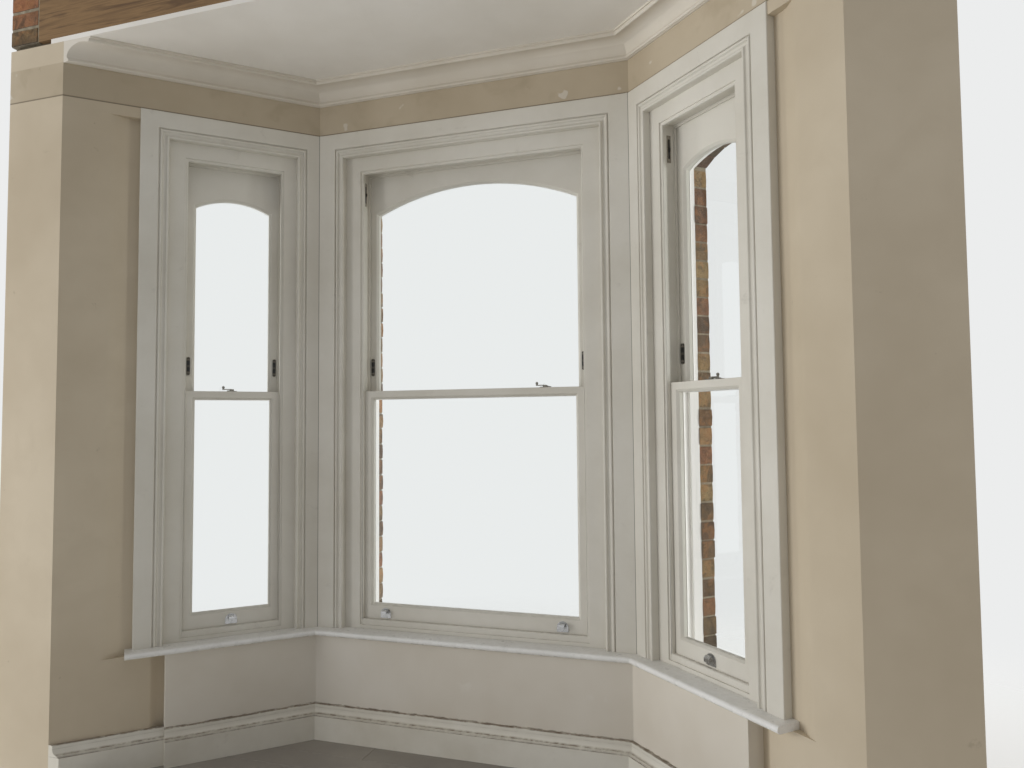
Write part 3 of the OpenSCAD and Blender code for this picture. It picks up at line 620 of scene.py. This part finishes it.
def roof_slates():
    bm = new_mesh()
    gauge, lean = SLOPE_LENGTH / SLATE_ROWS, ROOF_RUN * TAN22
    for k in (0, -1, 1):
        base = side_face(k, D_EAVES)
        up = Vector((-base.n.x * math.cos(ANGLE), -base.n.y * math.cos(ANGLE), math.sin(ANGLE)))
        out = Vector((base.n.x * math.sin(ANGLE), base.n.y * math.sin(ANGLE), math.cos(ANGLE)))
        face = Face(base.o + Vector((0, 0, Z_EAVES)), base.u, up, out)
        lo, hi = side_ends(k, D_EAVES)
        tops = [lo + lean] if k else [hi - lean, lo + lean]
        region = [(lo, 0), (hi, 0)] + [(u, SLOPE_LENGTH) for u in tops]
        lines = [edge_line(a, b) for a, b in edges_of(region)]
        for row in range(SLATE_ROWS):
            v0, v1 = row * gauge, min((row + 2) * gauge - 0.01, SLOPE_LENGTH)
            for i in range(-6, 7):
                u = i * SLATE_W + SLATE_W / 2 * (row % 2) + (SIDE_MID if k else SLATE_W / 2)
                u0, u1 = u + SLATE_GAP / 2, u + SLATE_W - SLATE_GAP / 2
                askew = rng.uniform(-0.0015, 0.0015)
                tail = v0 + max(0.0, rng.uniform(-0.004, 0.005)) if row else v0
                p = clip_all([(u0, tail), (u1, tail + askew), (u1, v1), (u0, v1)], *lines)
                if p:
                    block(bm, face, p, SLATE_T, tint(), 0.0011, sink=rng.uniform(0, 0.0012),
                          slope=(v0, SLATE_DROP / gauge))
    piece("roof_slates", bm, "slate")


def gutter_brackets():
    """Straps from the wall round under the gutter."""
    bm = new_mesh()
    rim, half_w, thick = Z_EAVES - 0.012, 0.0125, 0.003
    angles = [math.radians(190 + 13 * i) for i in range(12)]
    path = [(GUTTER_D - GUTTER_R - D_OUT + 0.001, rim - 0.062)]
    path += [(GUTTER_D - D_OUT + GUTTER_R * math.cos(a), rim + GUTTER_R * math.sin(a)) for a in angles]
    outer = []
    for i, (d, z) in enumerate(path):
        nu, nv, _ = edge_line(path[max(i - 1, 0)], path[min(i + 1, len(path) - 1)])
        outer.append((d + nu * thick, z - nv * thick))
    for k in (0, -1, 1):
        face = side_face(k, D_OUT)
        for u in (0.02, 0.43, 0.81) if k else (-0.6, 0.0, 0.6):
            for i in range(len(path) - 1):
                ring = [path[i], path[i + 1], outer[i + 1], outer[i]]
                prism(bm, *([face.at(end, z, -d) for d, z in ring] for end in (u - half_w, u + half_w)))
    piece("gutter_brackets", bm, "gutter_iron")


def floor_planks():
    """Floor boards along the wall, most of them with a joint, cut to the bay's sides."""
    bm = new_mesh()
    face = Face((0, 0, Z_FLOOR), (1, 0, 0), (0, 1, 0), (0, 0, 1))
    c = -side_x(0, D_IN) * SIN45
    y, width, y_end, beyond = Y_ROOM, 0.1385, Y_FACE + D_IN, 3.0
    while y < y_end - 0.01:
        joints = sorted(rng.uniform(-1.0, 1.0) for _ in range(rng.choice((0, 1, 1))))
        xs = [-beyond, *joints, beyond]
        y0, y1 = y + 0.0009, min(y + width, y_end) - 0.0009
        for a, b in zip(xs, xs[1:]):
            p = clip_all(rect(a + 0.0007, y0, b - 0.0007, y1), (-SIN45, -SIN45, c), (SIN45, -SIN45, c))
            if p:
                block(bm, face, p, FLOOR_T, tint(), 0.0016, sink=rng.uniform(0, 0.0007))
        y += width
    piece("floor_planks", bm, "floor_timber", "floor_boards")


roof_deck()
roof_slates()
gutter_brackets()
floor_planks()


# Materials
def rgb(code):
    """A colour written as hex, in linear light."""
    v = [int(code[i:i + 2], 16) / 255 for i in (0, 2, 4)]
    return tuple(x / 12.92 if x <= 0.04045 else ((x + 0.055) / 1.055) ** 2.4 for x in v) + (1.0,)


class Tree:
    """Short calls for the nodes of a material or a world."""

    def __init__(self, owner):
        self.m = owner
        owner.use_nodes = True
        self.t = owner.node_tree

    def n(self, kind, inputs=None, **settings):
        """A new node, with inputs by name or number."""
        node = self.t.nodes.new("ShaderNode" + kind)
        for key, v in settings.items():
            setattr(node, key, v)
        for key, v in (inputs or {}).items():
            self.put(node.inputs[key], v)
        return node

    def put(self, socket, v):
        """Links an input to an output, or gives it a value. A string is a hex colour."""
        if isinstance(v, bpy.types.NodeSocket):
            self.t.links.new(v, socket)
        else:
            socket.default_value = rgb(v) if isinstance(v, str) else v

    def math(self, op, *values):
        return self.n("Math", dict(enumerate(values)), operation=op).outputs[0]

    def blend(self, share, shader, other, output):
        """Sends a shader to an output, with a share of another one."""
        mixed = self.n("MixShader", {0: share, 1: shader.outputs[0], 2: other.outputs[0]})
        self.put(self.t.nodes[output].inputs[0], mixed.outputs[0])


class Mat(Tree):
    """A material and its patterns."""

    def __init__(self, name):
        super().__init__(bpy.data.materials.new(name))
        self.b = self.t.nodes["Principled BSDF"]
        self.pos = self.n("TexCoord").outputs["Object"]

    def stretch(self, x, y, z):
        return self.n("Mapping", {"Vector": self.pos, "Scale": (x, y, z)}).outputs[0]

    def noise(self, scale, detail=4.0, rough=0.55, at=None, distort=0.0):
        return self.n("TexNoise", {"Vector": at or self.pos, "Scale": scale, "Detail": detail,
                                   "Roughness": rough, "Distortion": distort}).outputs["Fac"]

    def cells(self, scale):
        return self.n("TexVoronoi", {"Vector": self.pos, "Scale": scale}).outputs["Distance"]

    def ramp(self, fac, *stops):
        """A colour ramp. A stop is a place and a hex colour or a grey."""
        node = self.n("ValToRGB", {"Fac": fac})
        e = node.color_ramp.elements
        while len(e) < len(stops):
            e.new(0.5)
        for el, (p, c) in zip(e, stops):
            el.position = p
            el.color = rgb(c) if isinstance(c, str) else (c, c, c, 1.0)
        return node.outputs["Color"]

    def mix(self, fac, a, b, blend="MIX"):
        return self.n("Mix", {0: fac, 6: a, 7: b}, data_type="RGBA", blend_type=blend).outputs[2]

    def times(self, a, b):
        return self.math("MULTIPLY", a, b)

    def away(self, a, b):
        """How far a is from b."""
        return self.math("ABSOLUTE", self.math("SUBTRACT", a, b))

    def axis(self, name, normal=False):
        src = self.n("NewGeometry").outputs["Normal"] if normal else self.pos
        return self.n("SeparateXYZ", {0: src}).outputs[name]

    def corner(self):
        """Distances beyond the middle side's end and in front of its face, and the depth into the wall."""
        side = self.math("SUBTRACT", self.math("ABSOLUTE", self.axis("X")), HALF_W)
        front = self.math("SUBTRACT", self.axis("Y"), Y_FACE)
        return side, front, self.math("MAXIMUM", front, self.times(self.math("ADD", side, front), SIN45))

    def level(self, fac, lo, hi):
        """0 at lo and 1 at hi, with a smooth step between them. lo may be above hi."""
        return self.n("MapRange", {"Value": fac, "From Min": lo, "From Max": hi},
                      interpolation_type="SMOOTHSTEP").outputs[0]

    def tint(self):
        """A block's tint as a vector, and its shade, dirt and share of red."""
        a = self.n("Attribute", attribute_name="tint")
        return a.outputs["Vector"], *self.n("SeparateColor", {0: a.outputs["Color"]}).outputs

    def stain(self, col, colour, share, fac, *ends):
        """col with a share of colour in it where the map is 1, or from one level of the map to another."""
        return self.mix(self.times(self.level(fac, *ends) if ends else fac, share), col, colour)

    def heights(self, *parts):
        """A weighted sum of height maps."""
        total = 0.0
        for h, w in parts:
            total = self.math("ADD", total, self.times(h, w))
        return total

    def done(self, colour, rough, heights=(), strength=0.5, distance=0.002, **fixed):
        """The material with its colour, its roughness and a bump from weighted heights."""
        self.put(self.b.inputs["Base Color"], colour)
        self.put(self.b.inputs["Roughness"], rough)
        if heights:
            height = self.heights(*heights)
            bump = self.n("Bump", {"Height": height, "Strength": strength, "Distance": distance})
            self.put(self.b.inputs["Normal"], bump.outputs[0])
        for key, v in fixed.items():
            self.put(self.b.inputs[key.replace("_", " ").title().replace("Ior", "IOR")], v)
        return self.m


def eaves_soot(m):
    """Share of soot under the gutter."""
    z = m.axis("Z")
    band = m.times(m.level(z, Z_STRING - 0.08, Z_STRING + 0.04), m.level(z, Z_EAVES + 0.05, Z_EAVES))
    return m.times(band, m.math("MULTIPLY_ADD", m.noise(7, 4), 0.5, 0.2))


def damp_and_soffit_shade(m):
    """Share of dirt at the ground and over the sill, and of painted shade on the down-facing faces under the
    arches.
    """
    z = m.axis("Z")
    sill = m.level(z, Z_SILL - 0.035, Z_SILL - 0.005)
    over_sill = m.times(m.level(z, Z_SILL + 0.185, Z_SILL + 0.085), sill)
    head = m.level(z, Z_SPRING - 0.096, Z_SPRING - 0.046)
    # painted shade: faces that look down under the arches are darkened as if in shadow
    arch_soffit_shade = m.times(m.level(m.axis("Z", True), -0.2, -0.6), head)
    low = m.math("MAXIMUM", m.level(z, 0.45, 0.0), m.times(arch_soffit_shade, 1.5))
    return m.math("MAXIMUM", low, m.times(over_sill, m.level(m.noise(8, 4), 0.3, 0.6)))


def brick_material():
    """Yellow and red bricks by their tint, weathered, pitted and with smears of mortar."""
    m = Mat("brick")
    _, shade, dirt, red = m.tint()
    stock = m.ramp(shade, (0.0, "5d4b3b"), (0.15, "765f46"), (0.35, "8d7351"), (0.55, "9c815a"),
                   (0.72, "a58c63"), (0.85, "9b7655"), (0.95, "a06e50"), (1.0, "7c5844"))
    reds = m.ramp(shade, (0.0, "6d3e2e"), (0.4, "8d523b"), (0.75, "a26346"), (1.0, "ac7454"))
    col = m.mix(m.level(red, 0.1, 0.95), stock, reds)
    col = m.stain(col, "6a5c4d", 0.3, dirt)
    fine, mid, big = m.noise(190, 5, 0.65), m.noise(42, 6, 0.7), m.noise(3.1, 3, 0.6)
    crumb, pits = m.noise(17, 6, 0.72, distort=0.5), m.cells(150)
    col = m.mix(0.9, col, m.ramp(mid, (0.28, 0.58), (0.5, 0.95), (0.72, 1.22)), "MULTIPLY")
    col = m.stain(col, "ab7a50", 0.4, crumb, 0.5, 0.6)
    col = m.stain(col, "4b4239", 0.6, m.noise(15, 6, 0.72, distort=0.7), 0.5, 0.62)
    col = m.stain(col, "4a3d31", 0.5, pits, 0.28, 0.06)
    col = m.stain(col, "c9bc9f", 0.45, m.noise(75, 6, 0.75), 0.6, 0.7)
    col = m.stain(col, "514940", 0.4, big, 0.48, 0.72)
    # dirt at the ground and over the sill, and painted shade under the arches
    col = m.stain(col, "4f4a42", 0.5, damp_and_soffit_shade(m))
    col = m.mix(eaves_soot(m), col, "473f37")
    heights = (fine, 0.5), (mid, 1.1), (crumb, 1.6), (m.level(pits, 0.0, 0.3), 0.4)
    return m.done(col, m.ramp(mid, (0.3, 0.95), (0.7, 0.8)), heights, 0.8, 0.0045, specular_ior_level=0.3)


def mortar_material():
    m = Mat("mortar")
    fine, mid, big = m.noise(420, 4, 0.7), m.noise(40, 4, 0.6), m.noise(2.7, 3, 0.6)
    col = m.ramp(mid, (0.3, "857b69"), (0.5, "9b917e"), (0.72, "aea490"))
    col = m.stain(col, "7a705f", 0.35, fine, 0.55, 0.7)
    col = m.stain(col, "665d51", 0.45, big, 0.45, 0.7)
    col = m.mix(eaves_soot(m), col, "4d463d")
    return m.done(col, 0.95, ((fine, 0.6), (mid, 1.0)), 0.8, 0.004, specular_ior_level=0.2)


def stone_material():
    """Painted stone with streaks, chips and a dirty top."""
    m = Mat("painted_stone")
    streak = m.noise(1.0, 5, 0.6, m.stretch(26, 26, 2.2))
    fine, flake = m.noise(220, 4, 0.6), m.noise(14, 6, 0.65, distort=0.4)
    chips = m.level(flake, 0.655, 0.675)
    top = m.times(m.level(m.axis("Z", True), 0.35, 0.9), m.level(m.noise(9, 5, 0.6), 0.3, 0.6))
    col = m.ramp(m.noise(5, 4), (0.35, "c9c4b4"), (0.65, "dedacd"))
    col = m.stain(col, "8e887b", 0.55, streak, 0.5, 0.72)
    col = m.mix(chips, col, "a1957f")
    col = m.stain(col, "6d6a5c", 0.7, top)
    heights = (fine, 0.3), (m.math("SUBTRACT", 1.0, chips), 0.6)
    return m.done(col, m.ramp(flake, (0.4, 0.6), (0.7, 0.85)), heights, 0.6, 0.0016)


def wood_grain(m, dark, light, along, moved=None):
    """Colour of bare timber with its grain along an axis, and its coarse and fine grain."""
    at = m.stretch(*(1.6 if axis == along else 30 for axis in "XYZ"))
    if moved is not None:
        at = m.n("VectorMath", {0: at, 1: moved}, operation="ADD").outputs[0]
    grain, fine = m.noise(1.0, 8, 0.62, at, 0.6), m.noise(5.0, 6, 0.7, at, 0.2)
    col = m.ramp(grain, (0.3, dark), (0.5, light), (0.62, dark), (0.75, light))
    return m.stain(col, dark, 0.4, fine, 0.5, 0.75), grain, fine


def timber_material(name, dark, light, along):
    m = Mat(name)
    col, grain, fine = wood_grain(m, dark, light, along)
    return m.done(col, 0.75, ((grain, 0.6), (fine, 0.5)), 0.5, 0.0012)


def floor_material():
    """Boards under worn grey paint, each with its own grain and shade."""
    m = Mat("painted_boards")
    block_tint, shade = m.tint()[:2]
    moved = m.n("VectorMath", {0: block_tint, "Scale": 37.0}, operation="SCALE").outputs[0]
    col, grain, fine = wood_grain(m, "7b5e3d", "a3825b", "X", moved)
    paint = m.ramp(m.noise(4, 4), (0.3, "8d8780"), (0.7, "9a948b"))
    paint = m.mix(0.6, paint, m.ramp(shade, (0.0, 0.8), (1.0, 1.15)), "MULTIPLY")
    paint = m.stain(paint, "77706a", 0.25, m.noise(2.2, 4, 0.6), 0.45, 0.7)
    worn = m.level(m.noise(7, 7, 0.7, distort=0.3), 0.7, 0.75)
    heights = (grain, 0.25), (fine, 0.15), (worn, -0.3)
    return m.done(m.mix(worn, paint, col), 0.5, heights, 0.5, 0.0012)


def slate_material():
    m = Mat("slate")
    shade = m.tint()[1]
    col = m.ramp(shade, (0.0, "41464d"), (0.3, "515861"), (0.6, "5f646c"), (0.85, "57535c"),
                 (1.0, "6d7074"))
    layers, fine = m.noise(1.0, 6, 0.6, m.stretch(9, 9, 60), 0.4), m.noise(130, 5, 0.6)
    col = m.mix(0.7, col, m.ramp(layers, (0.3, 0.8), (0.7, 1.15)), "MULTIPLY")
    col = m.stain(col, "9aa08c", 0.75, m.noise(26, 5, 0.75, distort=0.5), 0.66, 0.72)
    col = m.stain(col, "4b5038", 0.6, m.noise(7, 5, 0.7), 0.63, 0.72)
    rough = m.ramp(layers, (0.3, 0.72), (0.7, 0.5))
    return m.done(col, rough, ((layers, 0.8), (fine, 0.35)), 0.6, 0.0022)


def lead_material():
    m = Mat("lead")
    patch, fine = m.noise(6, 6, 0.62, distort=0.6), m.noise(70, 4, 0.6)
    streak = m.noise(1.0, 5, 0.6, m.stretch(30, 30, 4))
    col = m.ramp(patch, (0.3, "7d8185"), (0.5, "92969a"), (0.68, "a9acae"))
    col = m.stain(col, "c3c4c2", 0.5, streak, 0.55, 0.75)
    col = m.stain(col, "62666a", 0.25, fine, 0.6, 0.75)
    rough = m.ramp(patch, (0.3, 0.5), (0.7, 0.72))
    return m.done(col, rough, ((patch, 1.0), (fine, 0.12)), 0.6, 0.004)


def gutter_material():
    m = Mat("gutter_paint")
    blot, fine = m.noise(11, 6, 0.65, distort=0.4), m.noise(150, 4, 0.6)
    rusty = m.level(blot, 0.7, 0.75)
    col = m.mix(m.level(m.noise(30, 4), 0.4, 0.7), "1b1c1e", "2b2c2e")
    col = m.mix(rusty, col, m.ramp(fine, (0.3, "5e3520"), (0.7, "7c4a2a")))
    rough = m.mix(rusty, m.ramp(fine, (0.3, 0.42), (0.7, 0.6)), (0.9, 0.9, 0.9, 1))
    return m.done(col, rough, ((fine, 0.25), (rusty, 0.5)), 0.45, 0.0012)


def daylit_street_coat(m, col):
    """Paint on the street side of the glass made whiter as painted daylight, with rain stains, and the
    joints at the bay's corners.
    """
    side, front, depth = m.corner()
    streak = m.level(m.noise(1.0, 5, 0.6, m.stretch(40, 40, 3)), 0.55, 0.75)
    upper = m.level(m.axis("Z"), Z_MEET, Z_MEET + 0.005)
    glass = m.math("MULTIPLY_ADD", upper, GLASS_STEP, GLASS_D)
    out = m.level(m.math("SUBTRACT", depth, glass), 0.0, 0.002)
    # painted daylight: paint beyond the glass is lighter than inside, with darker rain streaks in it
    col = m.mix(out, col, m.mix(m.times(streak, 0.25), "f1efeb", "a8a294"))
    return m.stain(col, "5f594f", 0.8, m.away(side, m.times(front, TAN22)), 0.0019, 0.0009)


def paint_material(name, base, shade, dusty, rough, chips, brush, dust="8d857a", joinery=False, lines=()):
    """Gloss or satin paint on wood: brush marks, faint stains, dust on upward faces and a few chips. lines
    gives dark lines of painted shade and dirt, such as in the skirting's top gap and quirks, as (level, half
    of its width, share)."""
    m = Mat(name)
    broad, fine = m.noise(2.4, 5, 0.6), m.noise(260, 4, 0.6)
    upright = m.noise(1.0, 4, 0.6, m.stretch(160, 160, 7))
    flat = m.noise(1.0, 4, 0.6, m.stretch(7, 160, 160))
    col = m.ramp(broad, (0.3, shade), (0.62, base))
    col = m.stain(col, dust, 0.3, m.noise(9, 6, 0.7, distort=0.5), 0.6, 0.8)
    col = m.mix(m.level(m.noise(24, 8, 0.75, distort=0.3), chips, chips + 0.012), col, "9b8a70")
    if joinery:
        # whiter paint on the street side of the glass stands in for daylight
        col = daylit_street_coat(m, col)
    # dark lines of painted shade and dirt in creases of the profile
    for z, half, share in lines:
        line = m.level(m.away(m.axis("Z"), z), half, half * 0.4)
        broken = m.level(m.noise(17, 6, 0.75, distort=0.3), 0.36, 0.6)
        col = m.stain(col, "574635", share, m.times(line, broken))
    up = m.level(m.axis("Z", True), 0.55, 0.95)
    dusted = m.times(m.times(up, m.level(m.noise(38, 5, 0.7), 0.25, 0.7)), dusty)
    col = m.mix(dusted, col, dust)
    heights = (upright, 0.35 * brush), (flat, 0.25 * brush), (fine, 0.1), (broad, 0.6)
    rough_map = m.ramp(m.noise(20, 4), (0.3, rough[0]), (0.7, rough[1]))
    return m.done(col, m.mix(dusted, rough_map, (0.85, 0.85, 0.85, 1)), heights, 0.3, 0.0011)


def over_skirting(m, col, top):
    """Painted shade and dirt in the gap over the skirting, and a few dabs of white paint on the lining."""
    z = m.axis("Z")
    # painted shade and dirt in the gap just over the skirting
    gap = m.times(m.level(z, top + 0.005, top + 0.001), m.level(m.noise(24, 5, 0.7), 0.42, 0.6))
    col = m.stain(col, "54452f", 0.75, gap)
    dab = m.times(m.level(m.noise(7, 2, 0.4), 0.68, 0.72), m.level(z, top + 0.1, top + 0.22))
    return m.stain(col, "f0eee9", 0.5, dab)


def filled_band(m, col, lo, hi):
    """The darker band of plaster from lo to hi, patched with filler, stained and scuffed, with a dark line
    of painted shade and dirt along its foot. Gives its relief too."""
    z = m.axis("Z")
    on = m.times(m.level(z, lo - 0.004, lo), m.level(z, hi + 0.004, hi))
    col = m.stain(col, m.ramp(m.noise(2.6, 3, 0.5), (0.35, "b2a48d"), (0.65, "c0b39d")), 0.75, on)
    stains = m.level(m.noise(7, 3, 0.5, distort=0.4), 0.5, 0.75)
    col = m.stain(col, "9c8d74", 0.35, m.times(stains, on))
    filler = m.times(m.level(m.noise(11, 2, 0.4), 0.7, 0.735), on)
    col = m.stain(col, "d9d3c8", 0.6, filler)
    # painted shade and dirt in the join over the architraves, at the band's foot
    foot_shade = m.times(m.level(z, lo + 0.006, lo + 0.001), m.level(z, lo - 0.003, lo - 0.001))
    col = m.stain(col, "62584a", 0.7, foot_shade)
    scuff = m.level(m.noise(19, 6, 0.7, distort=0.4), 0.66, 0.74)
    return m.stain(col, "8d7f69", 0.3, scuff), m.heights((filler, 0.6), (scuff, -0.3))


def plaster_material(name, base, shade, band=None, skirting=None):
    """Old painted plaster, uneven and faintly stained. band gives the two levels of its patched band and
    skirting the top of the skirting under it."""
    m = Mat(name)
    broad, mid, fine = m.noise(1.3, 4, 0.55), m.noise(6, 6, 0.6, distort=0.5), m.noise(300, 3, 0.6)
    roller = m.noise(110, 3, 0.6)
    col = m.ramp(broad, (0.35, shade), (0.65, base))
    col = m.stain(col, shade, 0.3, mid, 0.45, 0.75)
    heights = [(broad, 6.0), (mid, 1.6), (roller, 0.12), (fine, 0.04)]
    if skirting:
        col = over_skirting(m, col, skirting)
    if band:
        col, relief = filled_band(m, col, *band)
        heights.append((relief, 1.0))
    return m.done(col, m.ramp(mid, (0.3, 0.82), (0.7, 0.68)), heights, 0.35, 0.0016, specular_ior_level=0.3)


def metal_material(name, base, rough, spots, share):
    m = Mat(name)
    fine, blot = m.noise(1.0, 4, 0.6, m.stretch(900, 900, 60)), m.noise(60, 5, 0.65)
    col = m.stain(base, spots, share, blot, 0.5, 0.72)
    rough = m.ramp(blot, (0.3, rough), (0.7, rough + 0.22))
    return m.done(col, rough, ((fine, 0.3), (blot, 0.5)), 0.25, 0.0004, metallic=1.0)


def plate_material(name, base, dark, z0, edge, slot=None, waist=None, screws=None):
    """Small metal plates, painted over in part, with their holes and slots dark as painted shade. edge gives
    the distances from the level z0 that are still painted and all dark, slot the depth of the middle of a
    dark slot, waist the height of a paler place at z0 and screws how far the screws are from it."""
    m = Mat(name)
    blot = m.noise(90, 5, 0.65)
    away = m.away(m.axis("Z"), z0)
    # dark part: painted shade in the stops' pockets and in the pulleys' slots, over their dark iron wheels
    part = m.level(away, *edge)
    if slot:
        part = m.times(part, m.level(m.away(m.corner()[2], slot), 0.0052, 0.0042))
    if waist:
        part = m.times(part, m.math("MULTIPLY_ADD", m.level(away, waist, waist / 3), -0.5, 1.0))
    if screws:
        part = m.math("MAXIMUM", part, m.times(m.level(m.away(away, screws), 0.004, 0.0015), 0.75))
    col = m.stain(base, "6a6153", 0.5, blot, 0.45, 0.65)
    col = m.mix(part, col, m.mix(m.level(blot, 0.6, 0.75), dark, "4a3a2c"))
    return m.done(col, m.ramp(blot, (0.3, 0.45), (0.7, 0.7)), ((blot, 1.0),), 0.3, 0.0006)


def glass_material():
    """Faintly wavy glass that lets light through to the room without a dark shadow."""
    m = Mat("glass")
    wave = m.noise(2.6, 2, 0.4)
    m.done((0.97, 0.99, 0.985, 1), 0.0, ((wave, 1.0),), 0.05, ior=1.45, transmission_weight=1.0)
    clear = m.n("BsdfTransparent", {"Color": (0.95, 0.97, 0.965, 1)})
    m.blend(m.n("LightPath").outputs["Is Shadow Ray"], m.b, clear, "Material Output")
    return m.m


def floor_fade():
    """The studio floor's grey, which fades out around the part."""
    m = Mat("studio_floor")
    m.done("d9d8d5", 0.9)
    reach = m.n("VectorMath", {0: m.pos}, operation="LENGTH").outputs["Value"]
    m.blend(m.level(reach, 3.2, 8.0), m.b, m.n("BsdfTransparent"), "Material Output")
    return m.m


GUTTER = gutter_material()
# painted shade and dirt along the skirting's top edge and in its mouldings
SKIRTING_SHADE_LINES = ((Z_SKIRT - 0.0012, 0.0028, 0.75), (Z_SKIRT - 0.045, 0.002, 0.55),
                  (Z_SKIRT - 0.015, 0.0013, 0.25))
JOINERY = paint_material("window_paint", "dcd8ce", "d1ccc0", 0.45, (0.34, 0.48), 0.80, 0.6, joinery=True)
PIECE_LOOKS = {
    "bricks": brick_material(),
    "mortar": mortar_material(),
    "deck": timber_material("roof_timber", "4d3c2b", "7d6447", "X"),
    "slates": slate_material(),
    "brackets": GUTTER,
    "planks": floor_material(),
}
NODE_LOOKS = {  # material and width of the worn edges
    "sill_course": (stone_material(), 0.004),
    "opening_beam": (timber_material("rough_timber_x", "5d4732", "8a6e4d", "X"), 0.004),
    "floor_joists": (timber_material("rough_timber_y", "755433", "a9855a", "Y"), 0.002),
    "roof_lead": (lead_material(), 0.002),
    "gutter": (GUTTER, 0.0),
    "ceiling": (plaster_material("ceiling_paint", "f0ece5", "e4dfd6"), 0.0),
    "apron_lining": (plaster_material("lining_paint", "e1dbd0", "d5cdbf", skirting=Z_SKIRT), 0.004),
    "wall_plaster": (plaster_material("wall_paint", "cec1ab", "bfb19a", Z_BAND), 0.006),
    "skirting": (paint_material("skirting_paint", "dedacf", "cdc7b9", 0.95, (0.45, 0.6), 0.74, 0.8,
                                "7a6c5a", lines=SKIRTING_SHADE_LINES), 0.0015),
    "cornice": (plaster_material("cornice_paint", "dfd8cc", "d1c9bb"), 0.0015),
    # board paint is whiter and cooler than the window paint, as painted daylight on it
    "window_board": (paint_material("board_paint", "f0efec", "e4e2dd", 0.15, (0.22, 0.34), 0.78, 0.6),
                     0.0012),
    "panes": (glass_material(), 0.0),
    # the pulleys' dark slots and the stops' black pockets are painted shade
    "sash_pulleys": (plate_material("pulley_plate", "989082", "151517", Z_PULLEYS, (0.042, 0.038),
                                    PULLEY_D), 0.0006),
    "sash_stops": (plate_material("stop_plate", "6e685d", "0c0c0d", Z_STOPS, (0.028, 0.023), waist=0.006,
                                  screws=0.035), 0.0008),
    "sash_fasteners": (metal_material("fastener_metal", "8d8a82", 0.38, "5a5148", 0.3), 0.0008),
    "sash_lifts": (metal_material("lift_chrome", "b9b9b9", 0.18, "7c7a76", 0.25), 0.0006),
}


def give(o, material):
    o.data.materials.clear()
    o.data.materials.append(material)


def wear_edges(o, width):
    """Smooth shading, and rounded edges of a width."""
    if "custom_normal" in o.data.attributes:
        o.data.attributes.remove(o.data.attributes["custom_normal"])
    o.data.polygons.foreach_set("use_smooth", [True] * len(o.data.polygons))
    o.modifiers.new("weld", "WELD").merge_threshold = 0.00002
    bevel = o.modifiers.new("worn_edges", "BEVEL")
    bevel.width, bevel.segments, bevel.limit_method = width, 2, "ANGLE"
    bevel.angle_limit = math.radians(32)
    bevel.harden_normals = bevel.use_clamp_overlap = True


for o in PIECES:
    give(o, PIECE_LOOKS[o.name.rsplit("_", 1)[1]])
for name, o in NODES.items():
    material, width = NODE_LOOKS.get(name, (JOINERY, 0.0013))
    give(o, material)
    if width and not o.hide_render:
        wear_edges(o, width)


# The studio floor, the light and the camera
def studio_floor():
    bm = bmesh.new()
    bmesh.ops.create_grid(bm, x_segments=1, y_segments=1, size=30)
    o = linked("studio_floor", bm)
    o.location.z = -0.002
    give(o, floor_fade())
    return o


def studio_world():
    """A plain level of light, and a pale backdrop for the camera, reflections and glass."""
    w = Tree(bpy.data.worlds.new("studio"))
    bpy.context.scene.world = w.m
    light = w.t.nodes["Background"]
    w.put(light.inputs["Color"], (1, 1, 1, 1))
    w.put(light.inputs["Strength"], 0.35)
    rays = w.n("LightPath").outputs
    seen = w.math("MAXIMUM", rays["Is Camera Ray"], rays["Is Glossy Ray"])
    seen = w.math("MAXIMUM", seen, rays["Is Transmission Ray"])
    w.blend(seen, light, w.n("Background", {"Color": "eceded"}), "World Output")


def lamp(name, at, aim, size, power):
    """A square lamp that only its light shows."""
    data = bpy.data.lights.new(name, "AREA")
    data.shape, data.size, data.energy = "SQUARE", size, power
    o = bpy.data.objects.new(name, data)
    o.location = at
    o.rotation_mode = "QUATERNION"
    o.rotation_quaternion = (Vector(aim) - Vector(at)).to_track_quat("-Z", "Y")
    o.visible_camera = o.visible_glossy = o.visible_transmission = False
    bpy.context.scene.collection.objects.link(o)


def camera(at, yaw, pitch, roll, lens):
    """The photo's camera. yaw is from +Y towards +X."""
    ahead = Vector((math.sin(yaw) * math.cos(pitch), math.cos(yaw) * math.cos(pitch), math.sin(pitch)))
    level = Vector((math.cos(yaw), -math.sin(yaw), 0))
    up = level.cross(ahead)
    right = level * math.cos(roll) + up * math.sin(roll)
    top = up * math.cos(roll) - level * math.sin(roll)
    data = bpy.data.cameras.new("camera")
    data.lens, data.sensor_width, data.sensor_fit = lens, 36.0, "HORIZONTAL"
    data.clip_start, data.clip_end = 0.05, 200
    o = bpy.data.objects.new("camera", data)
    o.matrix_world = Matrix.Translation(at) @ Matrix((right, top, -ahead)).transposed().to_4x4()
    bpy.context.scene.collection.objects.link(o)
    bpy.context.scene.camera = o


floor = studio_floor()
studio_world()
lamp("room_light", (-6.0, -3.4, 2.6), (0, 0, 2.7), 3.6, 250)
lamp("street_light", (2.0, 8.5, 4.5), (0, 0, 2.6), 5.0, 470)
lamp("street_left", (-9.2, 1.5, 1.8), (0, 0, 2.6), 3.6, 620)
lamp("street_right", (9.2, 1.5, 1.8), (0, 0, 2.6), 3.6, 560)
camera((1.2261, Y_FACE - 3.0913, 2.463), math.radians(-18.06), math.radians(2.89), -0.0084, 26.653)
bpy.context.scene.view_settings.view_transform = "Standard"
